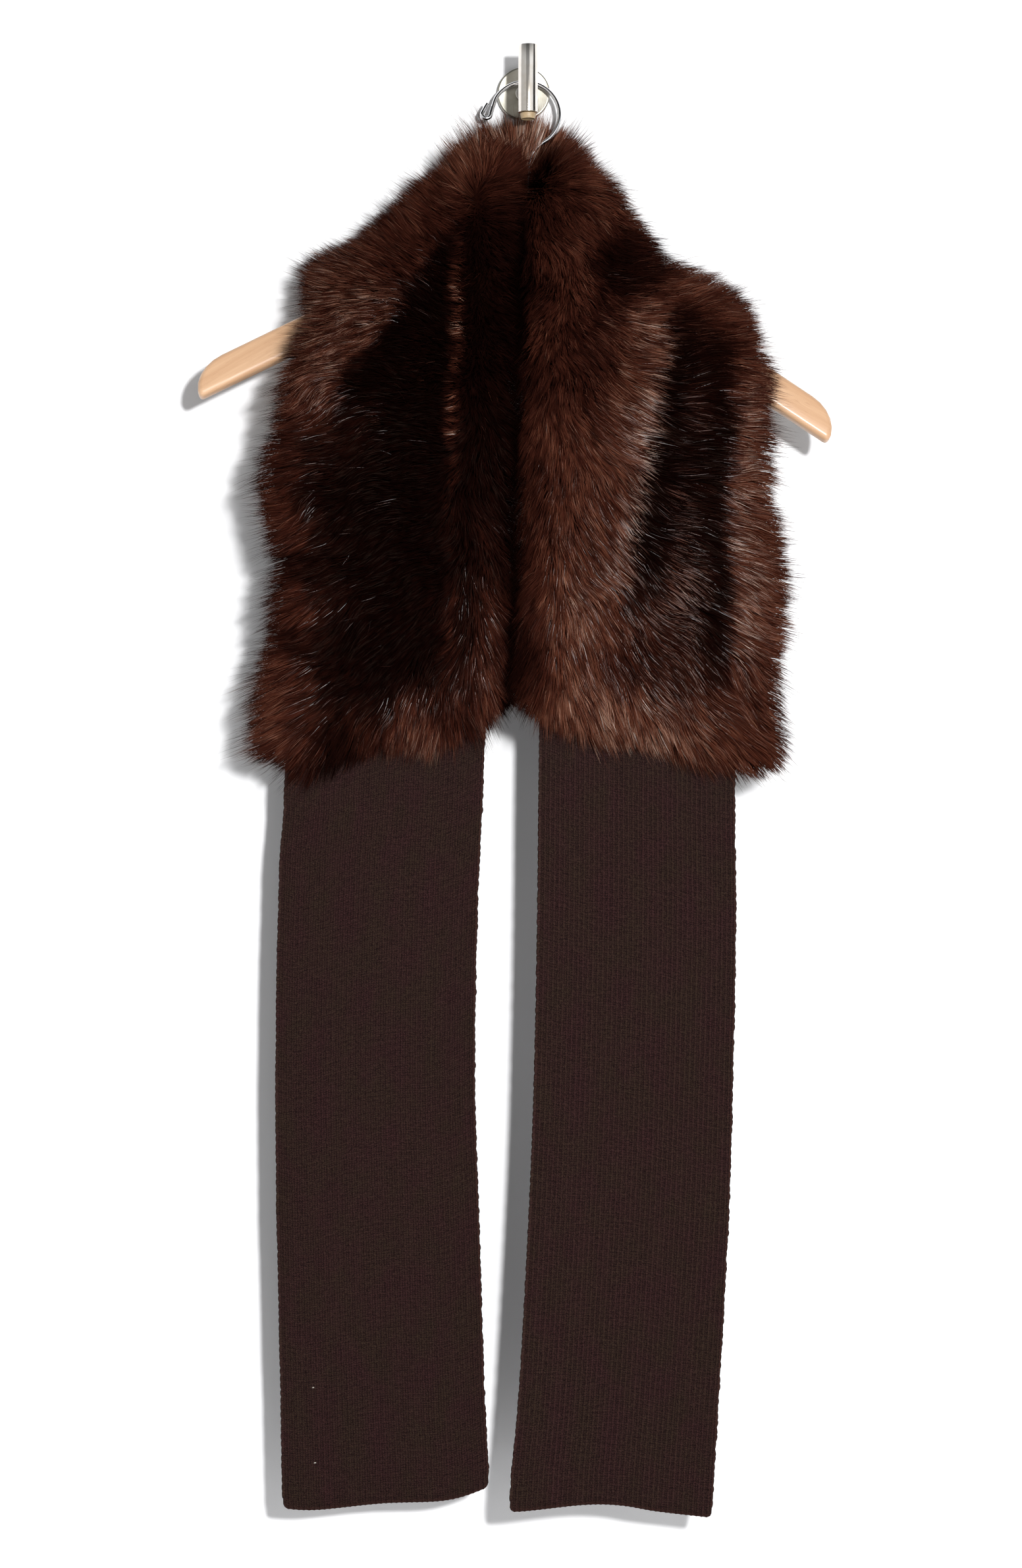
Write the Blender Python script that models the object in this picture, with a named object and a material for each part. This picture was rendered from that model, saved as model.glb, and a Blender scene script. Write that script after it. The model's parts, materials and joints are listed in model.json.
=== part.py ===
"""A fur collar wrap with two ribbed knit tails, draped over a wooden hanger on a wall peg.

The frame: X to the right, Y into the wall, Z up, in metres. The origin is the centre of the
rosette's back face, where the peg meets the wall, so the whole object lies at negative Y.
Sizes below are in millimetres and MM turns them into metres.

The wrap is one long fur collar, sewn up as a tube with its pile outside, and a ribbed tail
sewn to each of its ends. The stretch behind the hanger's neck is one solid, each stretch that
hangs down in front is another. The hanger leans, its foot held off the wall by the fur.
"""

import math

import bmesh
import bpy
from mathutils import Matrix

MM = 0.001
SEAM_GAP = 0.4

# Wall peg
ROSETTE_RADIUS = 18.6
ROSETTE_THICKNESS = 6.0
ROSETTE_RIM = 1.2
POST_RADIUS = 4.8
COLLAR_RADIUS = 6.0
COLLAR_LENGTH = 1.4
BAR_RADIUS = 6.7
BAR_LENGTH = 46.8
BAR_RIM = 0.7
BAR_DEPTH = 52.0
PLUG_TOP_RADIUS = 5.6
PLUG_FOOT_RADIUS = 4.9
PLUG_LENGTH = 4.2
ROUND_STEPS = 40

# Hanger: its middle plane leans out from the wall towards its foot
LEAN_SLOPE = 0.22
LEAN_DEPTH_AT_ORIGIN = 13.54
HANGER_TILT = math.radians(4.2)
ARM_SLOPE = math.radians(31.3)
ARM_HEIGHT = 21.5
ARM_LENGTH = 266.0
ARM_TIP_ROUND = 27.0
ARM_TIP_STEPS = 6
ARM_CENTRE_X = 0.4
ARM_CENTRE_Z = -88.6
NECK_HALF_WIDTH = 10.0
NECK_SHOULDER = 22.0
NECK_RISE = 12.5
SEAT_RISE = 1.2
SEAT_NECK_HALF_WIDTH = 19.0
SEAT_NECK_FOOT = 38.0
WOOD_THICKNESS = 12.0
WOOD_ROUND = 3.4
WOOD_ROUND_STEPS = 3
WIRE_RADIUS = 1.5
HOOK_RADIUS = 23.9
HOOK_CENTRE_X = 0.5
HOOK_CENTRE_Z = -17.4
HOOK_START = math.radians(152.0)
HOOK_END = math.radians(-62.0)
HOOK_STEPS = 32
HAIRPIN_RADIUS = 3.5
HAIRPIN_CENTRE = (-27.4, -18.4)
HAIRPIN_LEG_TOP = (-26.2, -9.6)
HAIRPIN_STEPS = 8
STEM_KNEE = (2.9, -47.0)

# Fur: how far each face keeps from the hanger's middle plane, measured along Y
WOOD_CLEARANCE = 6.55
WIRE_CLEARANCE = 1.9
FACE_CLEARANCE = 0.2
WIRE_ZONE_INNER = 50.0
WIRE_ZONE_OUTER = 80.0
WALL_CLEARANCE = 1.5
FUR_RIM_THICKNESS = 3.0
RIM_SHARE = 0.45
RIDGE_ROUND = 58.0
SIDE_ROUND = 30.0
HEM_ROUND = 34.0
NECK_ROUND = 26.0
ACROSS_STEPS = 16
UPPER_STEPS = 6
LOWER_STEPS = 20
BAND_ACROSS_STEPS = 26
BAND_LOWER_STEPS = 7

# Outlines of the fur pieces, as rows of x, z. Ridges and hems run from the outer side of a
# piece to its inner side, sides run downwards, and the last point of each upper side and the
# first of each lower one lie on the hanger's arm.
LEFT_RIDGE = (
    (-165, -114),
    (-150, -117),
    (-128, -109),
    (-105, -87),
    (-73, -57),
    (-40, -30),
    (-27, -27),
    (-4.5, -46),
)
LEFT_HEM = (
    (-191.5, -480),
    (-172, -482),
    (-155, -492),
    (-120, -478),
    (-90, -470),
    (-58, -468),
    (-16.5, -444),
)
LEFT_SEAT_SPAN = (-157.5, -9.8)
LEFT_OUTER_UPPER = ((-165, -114), (-159, -137))
LEFT_OUTER_LOWER = (
    (-160, -180),
    (-174, -198),
    (-175, -231),
    (-187, -287),
    (-176, -340),
    (-183, -390),
    (-194.5, -460),
    (-191.5, -480),
)
LEFT_INNER_UPPER = ((-4.5, -46), (-8.4, -58))
LEFT_INNER_LOWER = ((-12.8, -133), (-13.4, -313), (-16.5, -444))

RIGHT_RIDGE = (
    (167, -175),
    (139, -140),
    (101, -118),
    (73, -76),
    (63, -56),
    (48, -49),
    (36, -30),
    (25, -30),
    (13, -40),
    (-0.4, -50),
)
RIGHT_HEM = ((156, -494), (112, -483), (88, -473), (56, -466), (29, -461), (-8, -443))
RIGHT_SEAT_SPAN = (161.5, -5.6)
RIGHT_OUTER_UPPER = ((167, -175), (163, -186))
RIGHT_OUTER_LOWER = (
    (167, -212),
    (160, -240),
    (161, -291),
    (170.5, -340),
    (170.5, -368),
    (167.5, -432),
    (175, -464),
    (156, -494),
)
RIGHT_INNER_UPPER = ((-0.4, -50), (-4.4, -61))
RIGHT_INNER_LOWER = ((-10.4, -133), (-11.2, -313), (-8, -443))

BAND_TOP = (
    (-162, -119),
    (-128, -112),
    (-105, -90),
    (-73, -60),
    (-42, -32),
    (-31, -20),
    (-16, -16),
    (13, -16),
    (23, -20),
    (38, -34),
    (63, -58),
    (80, -84),
    (101, -121),
    (139, -143),
    (163, -174),
)
BAND_HEM = ((-160, -192), (-100, -200), (0, -188), (100, -205), (162, -214))
BAND_SEAT_SPAN = (-157.5, 160.0)

# How deep the front stretches hang, as rows of z, back of the left one, back of the right one
# and pile thickness
DEPTH_ROWS = (
    (-226, 69.8, 69.8, 45),
    (-300, 62.0, 71.0, 49),
    (-400, 50.0, 69.0, 49),
    (-500, 45.0, 66.0, 46),
)
THICKNESS_AT_TOP = 27.0
TOP_HEIGHT = -30.0

# Shallow valleys between the pelt-like strips, as rows of x at the top, x at the hem, depth
LEFT_VALLEYS = ((-47, -50, 3.0), (-110, -125, 2.0))
RIGHT_VALLEYS = ((92, 62, 3.0), (140, 141, 2.5))
VALLEY_HALF_WIDTH = 13.0

# Knit tails
RIB_COUNT = 40
RIB_HEIGHT = 0.8
KNIT_THICKNESS = 1.4
KNIT_STEPS = 12
LEFT_KNIT_TOP = (-166.5, -29.0)
LEFT_KNIT_SIDE = ((-166.5, -490), (-171, -526), (-174, -644), (-174, -756), (-171.6, -877), (-169.5, -987))
LEFT_KNIT_INNER = ((-29, -454), (-35, -546), (-38, -683), (-34.9, -788), (-31, -916), (-27.5, -970))
LEFT_KNIT_FOOT = ((-169.5, -987), (-145, -989), (-101, -984.5), (-65, -982.5), (-46, -978), (-27.5, -970))
RIGHT_KNIT_TOP = (138.0, 5.6)
RIGHT_KNIT_SIDE = ((138, -493), (139.3, -585), (137, -701), (135, -776), (128.5, -903), (123.5, -991))
RIGHT_KNIT_INNER = ((5.6, -449), (4.7, -565), (2.5, -681), (-1, -775), (-8.7, -912), (-16, -980))
RIGHT_KNIT_FOOT = ((123.5, -991), (86, -986.5), (62, -982), (37, -981), (-8, -984.5), (-16, -980))
LEFT_KNIT_DEPTHS = (66.0, 64.0)
RIGHT_KNIT_DEPTHS = (87.0, 82.0)
LEFT_KNIT_TURN = 2.0
RIGHT_KNIT_TURN = -7.0
KNIT_WAVE = 3.0


def clear_scene():
    for thing in list(bpy.data.objects):
        bpy.data.objects.remove(thing, do_unlink=True)


def material(name, color, roughness, metallic):
    made = bpy.data.materials.new(name)
    made.use_nodes = True
    shader = made.node_tree.nodes["Principled BSDF"]
    shader.inputs["Base Color"].default_value = (*color, 1.0)
    shader.inputs["Roughness"].default_value = roughness
    shader.inputs["Metallic"].default_value = metallic
    return made


def add_object(name, mesh, surface, sharp_angle=35.0):
    thing = bpy.data.objects.new(name, mesh)
    bpy.context.scene.collection.objects.link(thing)
    mesh.materials.append(surface)
    mesh.shade_smooth()
    mesh.set_sharp_from_angle(angle=math.radians(sharp_angle))
    return thing


def solid(name, points, faces, surface):
    """A closed mesh from points in millimetres, its faces turned outwards."""
    mesh = bpy.data.meshes.new(name)
    mesh.from_pydata([(x * MM, y * MM, z * MM) for x, y, z in points], [], faces)
    shape = bmesh.new()
    shape.from_mesh(mesh)
    bmesh.ops.recalc_face_normals(shape, faces=shape.faces)
    shape.to_mesh(mesh)
    shape.free()
    return add_object(name, mesh, surface)


def turned(name, profile, surface, along_y=False):
    """A turned piece: the profile's rows are radius and height, and its ends lie on the axis."""
    shape = bmesh.new()
    rim = [shape.verts.new((radius * MM, 0.0, height * MM)) for radius, height in profile]
    for low, high in zip(rim, rim[1:]):
        shape.edges.new((low, high))
    bmesh.ops.spin(
        shape,
        geom=shape.verts[:] + shape.edges[:],
        cent=(0, 0, 0),
        axis=(0, 0, 1),
        angle=math.tau,
        steps=ROUND_STEPS,
        use_merge=True,
    )
    bmesh.ops.remove_doubles(shape, verts=shape.verts, dist=0.00001)
    if along_y:
        quarter_turn = Matrix.Rotation(math.pi / 2, 3, "X")
        bmesh.ops.rotate(shape, verts=shape.verts, cent=(0, 0, 0), matrix=quarter_turn)
    bmesh.ops.recalc_face_normals(shape, faces=shape.faces)
    mesh = bpy.data.meshes.new(name)
    shape.to_mesh(mesh)
    shape.free()
    return add_object(name, mesh, surface)


def between(rows, key, column):
    """Reads a table whose first column falls from row to row, straight between its rows."""
    if key >= rows[0][0]:
        return rows[0][column]
    for upper, lower in zip(rows, rows[1:]):
        if key >= lower[0]:
            share = (upper[0] - key) / (upper[0] - lower[0])
            return upper[column] + share * (lower[column] - upper[column])
    return rows[-1][column]


def smooth_line(points, finer=8):
    """A smooth line through an outline's points, as a finer row of points."""
    ends = [points[0], *points, points[-1]]
    line = [points[0]]
    for before, start, end, after in zip(ends, ends[1:], ends[2:], ends[3:]):
        for step in range(1, finer + 1):
            t = step / finer
            line.append(tuple(
                b + 0.5 * t * (c - a + t * (2 * a - 5 * b + 4 * c - d + t * (3 * b - a - 3 * c + d)))
                for a, b, c, d in zip(before, start, end, after)
            ))
    return line


def along(line, share):
    """The point at a share of a line's length."""
    lengths = [math.dist(a, b) for a, b in zip(line, line[1:])]
    left = share * sum(lengths)
    for start, end, length in zip(line, line[1:], lengths):
        if left <= length:
            part = left / length
            return tuple(a + part * (b - a) for a, b in zip(start, end))
        left -= length
    return line[-1]


def patch(top, foot, outer, inner, across, down):
    """Rows of points that fill the space between four lines, blended from all four."""
    rows = []
    for v in down:
        side, middle = along(outer, v), along(inner, v)
        row = []
        for u in across:
            over, under = along(top, u), along(foot, u)
            corners = [
                (1 - u) * (1 - v) * a + u * (1 - v) * b + (1 - u) * v * c + u * v * d
                for a, b, c, d in zip(top[0], top[-1], foot[0], foot[-1])
            ]
            row.append(tuple(
                (1 - v) * o + v * f + (1 - u) * s + u * m - c
                for o, f, s, m, c in zip(over, under, side, middle, corners)
            ))
        rows.append(row)
    return rows


def eased(steps):
    """Shares from 0 to 1 that crowd towards both ends, where the pile rounds away."""
    return [(1 - math.cos(math.pi * step / steps)) / 2 for step in range(steps + 1)]


def even(steps):
    return [step / steps for step in range(steps + 1)]


def hanger_depth(z):
    """Distance from the wall to the hanger's leaning middle plane."""
    return LEAN_DEPTH_AT_ORIGIN - LEAN_SLOPE * z


def seat_height(x):
    """Height just above the top edge of the hanger's arms, which carry the fur."""
    stretch = math.sqrt(1 + LEAN_SLOPE ** 2)
    slope = math.tan(ARM_SLOPE + math.copysign(HANGER_TILT, x))
    return (ARM_CENTRE_Z - slope * abs(x - ARM_CENTRE_X)) / stretch + SEAT_RISE


def seat_line(span):
    """The line along which a piece of fur rests on the arms, raised over the hanger's neck."""
    neck_top = (ARM_CENTRE_Z + NECK_RISE) / math.sqrt(1 + LEAN_SLOPE ** 2) + 3 * SEAT_RISE
    halves = []
    for end in span:
        if abs(end) < SEAT_NECK_HALF_WIDTH:
            halves.append([(end, neck_top)])
            continue
        foot_x = math.copysign(SEAT_NECK_FOOT, end)
        neck_x = math.copysign(SEAT_NECK_HALF_WIDTH, end)
        halves.append([(end, seat_height(end)), (foot_x, seat_height(foot_x)), (neck_x, neck_top)])
    start, finish = halves
    return start + finish[::-1]


def gap_beside_plane(x):
    """The two stretches of fur close up beyond the hook's wire."""
    share = (abs(x) - WIRE_ZONE_INNER) / (WIRE_ZONE_OUTER - WIRE_ZONE_INNER)
    share = min(max(share, 0.0), 1.0)
    return WIRE_CLEARANCE + share * (FACE_CLEARANCE - WIRE_CLEARANCE)


def rounding(distance, reach):
    share = min(distance / reach, 1.0)
    return math.sqrt(1 - (1 - share) ** 2)


def nearest(point, line):
    return min(math.dist(point, other) for other in line)


def valley_depth(x, z, rows):
    """How far the pile sinks where two strips of fur meet."""
    fall = min(max((-z - 100) / 350, 0.0), 1.0)
    sunk = 0.0
    for top_x, hem_x, depth in rows:
        offset = (x - top_x - fall * (hem_x - top_x)) / VALLEY_HALF_WIDTH
        sunk += depth * math.exp(-offset * offset)
    return sunk


def front_back_depth(z, column):
    """Depth of a front stretch's back: on the hanger's arms above, falling free below them."""
    if z > DEPTH_ROWS[0][0]:
        return hanger_depth(z) + WOOD_CLEARANCE
    return between(DEPTH_ROWS, z, column)


def front_thickness(z):
    rows = ((TOP_HEIGHT, THICKNESS_AT_TOP), *((row[0], row[3]) for row in DEPTH_ROWS))
    return between(rows, z, 1)


def skin(name, upper, lower, face_depths, surface):
    """Closes a piece of fur: a free face, and a face on the hanger with a step over its arms.

    upper and lower are rows of x, z that share the seat row, and face_depths gives the depth of
    the hanger's side above and below the step and of the free side at a point.
    """
    width = len(upper[0])
    points = []
    hanger_rows = []
    free_rows = []

    def add_row(target, row, choose):
        start = len(points)
        points.extend((x, -choose(face_depths(x, z)), z) for x, z in row)
        target.append(range(start, start + width))

    for row in upper:
        add_row(hanger_rows, row, lambda depths: depths[0])
    for row in lower:
        add_row(hanger_rows, row, lambda depths: depths[1])
    for row in upper + lower[1:]:
        add_row(free_rows, row, lambda depths: depths[2])

    faces = []
    for rows in (hanger_rows, free_rows):
        for above, below in zip(rows, rows[1:]):
            for i in range(width - 1):
                faces.append((above[i], above[i + 1], below[i + 1], below[i]))
    for hanger_row, free_row in ((hanger_rows[0], free_rows[0]), (hanger_rows[-1], free_rows[-1])):
        for i in range(width - 1):
            faces.append((hanger_row[i], hanger_row[i + 1], free_row[i + 1], free_row[i]))
    step_row = len(upper) - 1
    for i in (0, width - 1):
        faces.append((hanger_rows[step_row][i], hanger_rows[step_row + 1][i], free_rows[step_row][i]))
        for j in range(len(free_rows) - 1):
            k = j if j < step_row else j + 1
            faces.append((hanger_rows[k][i], hanger_rows[k + 1][i], free_rows[j + 1][i], free_rows[j][i]))
    return solid(name, points, faces, surface)


def front_stretch(name, outline, column, valleys, surface):
    """One stretch of the fur tube that hangs down in front of the hanger."""
    ridge, seat_span, hem, outer_upper, outer_lower, inner_upper, inner_lower = outline
    seat = seat_line(seat_span)
    ridge = smooth_line(ridge)
    hem = smooth_line(hem)
    outer_upper = smooth_line([*outer_upper, seat[0]])
    outer_lower = smooth_line([seat[0], *outer_lower])
    inner_upper = smooth_line([*inner_upper, seat[-1]])
    inner_lower = smooth_line([seat[-1], *inner_lower])
    across = eased(ACROSS_STEPS)
    upper = patch(ridge, seat, outer_upper, inner_upper, across, even(UPPER_STEPS))
    lower = patch(seat, hem, outer_lower, inner_lower, across, even(LOWER_STEPS))
    sides = outer_upper + outer_lower + inner_upper + inner_lower

    def depths(x, z):
        thickness = front_thickness(z) - valley_depth(x, z, valleys)
        at_side = rounding(nearest((x, z), sides), SIDE_ROUND)
        at_hem = rounding(nearest((x, z), hem), HEM_ROUND)
        at_ridge = rounding(nearest((x, z), ridge), RIDGE_ROUND)
        inset = RIM_SHARE * thickness * (1 - at_side * at_hem)
        over_step = hanger_depth(z) + gap_beside_plane(x) + inset
        under_step = front_back_depth(z, column) + inset
        pile = max(thickness * at_side * at_hem * at_ridge, FUR_RIM_THICKNESS)
        base = over_step + at_ridge * (under_step - over_step)
        return over_step, under_step, base + pile

    skin(name, upper, lower, depths, surface)
    return lower[-1]


def neck_band(name, surface):
    """The stretch of the fur tube between the hanger and the wall."""
    top = smooth_line(BAND_TOP)
    hem = smooth_line(BAND_HEM)
    seat = seat_line(BAND_SEAT_SPAN)
    across = even(BAND_ACROSS_STEPS)
    left_upper = smooth_line((top[0], seat[0]))
    left_lower = smooth_line((seat[0], hem[0]))
    right_upper = smooth_line((top[-1], seat[-1]))
    right_lower = smooth_line((seat[-1], hem[-1]))
    upper = patch(top, seat, left_upper, right_upper, across, even(UPPER_STEPS))
    lower = patch(seat, hem, left_lower, right_lower, across, even(BAND_LOWER_STEPS))
    sides = left_upper + left_lower + right_upper + right_lower

    def depths(x, z):
        at_side = rounding(nearest((x, z), sides), SIDE_ROUND)
        at_hem = rounding(nearest((x, z), hem), HEM_ROUND)
        at_top = rounding(nearest((x, z), top), NECK_ROUND)
        thickness = hanger_depth(z) - WALL_CLEARANCE
        inset = RIM_SHARE * thickness * (1 - at_side * at_hem)
        over_step = hanger_depth(z) - gap_beside_plane(x) - inset
        under_step = hanger_depth(z) - WOOD_CLEARANCE - inset
        pile = (over_step - WALL_CLEARANCE) * at_top * at_side * at_hem
        free_side = min(over_step - max(pile, FUR_RIM_THICKNESS), under_step - FUR_RIM_THICKNESS)
        return over_step, under_step, max(free_side, WALL_CLEARANCE)

    skin(name, upper, lower, depths, surface)


def knit_tail(name, hem_row, top_span, side, inner, foot, depths, turn, surface):
    """A ribbed tail: ribs stand on the front of a thin wall whose back is plain."""
    outer_x, inner_x = top_span
    direction = 1 if inner_x > outer_x else -1
    hem_line = sorted(hem_row, key=lambda point: direction * point[0])

    def hem_height(x):
        rows = [(direction * -px, pz) for px, pz in hem_line]
        return between(rows, direction * -x, 1) - SEAM_GAP

    steps = 2 * RIB_COUNT
    top_xs = [outer_x + (inner_x - outer_x) * share for share in even(steps)]
    top = [(x, hem_height(x)) for x in top_xs]
    side = smooth_line([top[0], *side[1:]])
    inner = smooth_line([top[-1], *inner[1:]])
    foot = smooth_line(foot)
    grid = patch(top, foot, side, inner, even(steps), even(KNIT_STEPS))

    points = []
    fronts = []
    backs = []
    for j, row in enumerate(grid):
        v = j / KNIT_STEPS
        start = len(points)
        for i, (x, z) in enumerate(row):
            u = i / steps
            depth = depths[0] + v * (depths[1] - depths[0]) + turn * v * (0.5 - u)
            depth += KNIT_WAVE * v * math.sin(math.pi * (1.4 * u + 1.1 * v))
            rib = RIB_HEIGHT * (i % 2)
            points.append((x, -(depth + KNIT_THICKNESS + rib), z))
        fronts.append(range(start, start + steps + 1))
        start = len(points)
        for i in range(0, steps + 1, 2):
            x, y, z = points[fronts[-1][i]]
            points.append((x, y + KNIT_THICKNESS, z))
        backs.append(range(start, start + RIB_COUNT + 1))

    faces = []
    for above, below in zip(fronts, fronts[1:]):
        faces.extend((above[i], above[i + 1], below[i + 1], below[i]) for i in range(steps))
    for above, below in zip(backs, backs[1:]):
        faces.extend((above[i], above[i + 1], below[i + 1], below[i]) for i in range(RIB_COUNT))
    for front, back in ((fronts[0], backs[0]), (fronts[-1], backs[-1])):
        for rib in range(RIB_COUNT):
            i = 2 * rib
            faces.append((front[i], front[i + 1], back[rib]))
            faces.append((front[i + 1], back[rib + 1], back[rib]))
            faces.append((front[i + 1], front[i + 2], back[rib + 1]))
    for end_front, end_back in ((0, 0), (steps, RIB_COUNT)):
        for j in range(KNIT_STEPS):
            faces.append((
                fronts[j][end_front],
                fronts[j + 1][end_front],
                backs[j + 1][end_back],
                backs[j][end_back],
            ))
    solid(name, points, faces, surface)


def wall_peg(nickel, tip):
    """A rosette on the wall and a bar held across a short post, as one welded piece."""
    front = ROSETTE_THICKNESS
    turned(
        "wall_rosette",
        (
            (0, 0),
            (ROSETTE_RADIUS, 0),
            (ROSETTE_RADIUS, front - ROSETTE_RIM),
            (ROSETTE_RADIUS - ROSETTE_RIM, front),
            (0, front),
        ),
        nickel,
        along_y=True,
    )
    start = front + SEAM_GAP
    peg = turned(
        "wall_peg",
        (
            (0, start),
            (COLLAR_RADIUS, start),
            (COLLAR_RADIUS, start + COLLAR_LENGTH),
            (POST_RADIUS, start + COLLAR_LENGTH),
            (POST_RADIUS, BAR_DEPTH),
            (0, BAR_DEPTH),
        ),
        nickel,
        along_y=True,
    )
    half = BAR_LENGTH / 2
    bar = turned(
        "bar_guide",
        (
            (0, -half),
            (BAR_RADIUS - BAR_RIM, -half),
            (BAR_RADIUS, -half + BAR_RIM),
            (BAR_RADIUS, half - BAR_RIM),
            (BAR_RADIUS - BAR_RIM, half),
            (0, half),
        ),
        nickel,
    )
    bar.location = (0, -BAR_DEPTH * MM, 0)
    bar.hide_render = True
    bar.display_type = "WIRE"
    join = peg.modifiers.new("bar", "BOOLEAN")
    join.operation = "UNION"
    join.object = bar
    plug_top = -half - SEAM_GAP
    plug_foot = plug_top - PLUG_LENGTH
    plug = turned(
        "bar_plug",
        (
            (0, plug_foot),
            (PLUG_FOOT_RADIUS, plug_foot),
            (PLUG_TOP_RADIUS, plug_top),
            (0, plug_top),
        ),
        tip,
    )
    plug.location = (0, -BAR_DEPTH * MM, 0)


def arm_outline(direction):
    """Half of the wooden hanger's outline, from its neck to the middle of its lower edge."""

    def place(length, drop):
        x = length * math.cos(ARM_SLOPE) - drop * math.sin(ARM_SLOPE)
        return (direction * x, -length * math.sin(ARM_SLOPE) - drop * math.cos(ARM_SLOPE))

    points = [(direction * NECK_HALF_WIDTH, NECK_RISE)]
    points.append((direction * (NECK_HALF_WIDTH + 4), NECK_RISE - 4))
    points.append(place(NECK_SHOULDER / math.cos(ARM_SLOPE), 0))
    for step in range(ARM_TIP_STEPS + 1):
        angle = math.pi / 2 * step / ARM_TIP_STEPS
        points.append(place(
            ARM_LENGTH - ARM_TIP_ROUND * (1 - math.sin(angle)),
            ARM_HEIGHT * (1 - math.cos(angle)),
        ))
    return points


def hanger(wood, chrome):
    """A flat wooden hanger and its wire hook, hung on the post and leaning off the wall."""
    frame = bpy.data.objects.new("hanger_frame", None)
    bpy.context.scene.collection.objects.link(frame)
    frame.location = (0, -LEAN_DEPTH_AT_ORIGIN * MM, 0)
    frame.rotation_euler = (-math.atan(LEAN_SLOPE), 0, 0)
    stretch = math.sqrt(1 + LEAN_SLOPE ** 2)

    lower_middle = (0, -ARM_HEIGHT / math.cos(ARM_SLOPE))
    outline = arm_outline(1) + [lower_middle] + arm_outline(-1)[::-1]
    shape = bmesh.new()
    half = WOOD_THICKNESS / 2
    front = [shape.verts.new((x * MM, -half * MM, z * MM)) for x, z in outline]
    board = shape.faces.new(front)
    sides = bmesh.ops.extrude_face_region(shape, geom=[board])
    moved = [part for part in sides["geom"] if isinstance(part, bmesh.types.BMVert)]
    bmesh.ops.translate(shape, verts=moved, vec=(0, WOOD_THICKNESS * MM, 0))
    bmesh.ops.recalc_face_normals(shape, faces=shape.faces)
    mesh = bpy.data.meshes.new("hanger_wood")
    shape.to_mesh(mesh)
    shape.free()
    board_object = add_object("hanger_wood", mesh, wood)
    board_object.parent = frame
    board_object.location = (ARM_CENTRE_X * MM, 0, ARM_CENTRE_Z * MM)
    board_object.rotation_euler = (0, HANGER_TILT, 0)
    rounded = board_object.modifiers.new("rounded", "BEVEL")
    rounded.width = WOOD_ROUND * MM
    rounded.segments = WOOD_ROUND_STEPS
    rounded.limit_method = "ANGLE"
    rounded.angle_limit = math.radians(40)

    route = [HAIRPIN_LEG_TOP]
    for step in range(HAIRPIN_STEPS + 1):
        angle = math.radians(165 + 200 * step / HAIRPIN_STEPS)
        route.append((
            HAIRPIN_CENTRE[0] + HAIRPIN_RADIUS * math.cos(angle),
            HAIRPIN_CENTRE[1] + HAIRPIN_RADIUS * math.sin(angle),
        ))
    for step in range(HOOK_STEPS + 1):
        angle = HOOK_START + (HOOK_END - HOOK_START) * step / HOOK_STEPS
        route.append((
            HOOK_CENTRE_X + HOOK_RADIUS * math.cos(angle),
            HOOK_CENTRE_Z + HOOK_RADIUS * math.sin(angle),
        ))
    neck_x = ARM_CENTRE_X + math.sin(HANGER_TILT) * NECK_RISE
    neck_z = (ARM_CENTRE_Z + math.cos(HANGER_TILT) * NECK_RISE) / stretch
    route.append(STEM_KNEE)
    route.append((neck_x + 0.6, (neck_z + STEM_KNEE[1]) / 2))
    route.append((neck_x, neck_z + SEAM_GAP + 0.3))
    wire = bpy.data.curves.new("hanger_hook", "CURVE")
    wire.dimensions = "3D"
    spline = wire.splines.new("POLY")
    spline.points.add(len(route) - 1)
    for point, (x, z) in zip(spline.points, route):
        point.co = (x * MM, 0, z * stretch * MM, 1)
    wire.bevel_depth = WIRE_RADIUS * MM
    wire.bevel_resolution = 2
    wire.use_fill_caps = True
    hook = bpy.data.objects.new("hanger_hook", wire)
    bpy.context.scene.collection.objects.link(hook)
    wire.materials.append(chrome)
    hook.parent = frame


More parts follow.
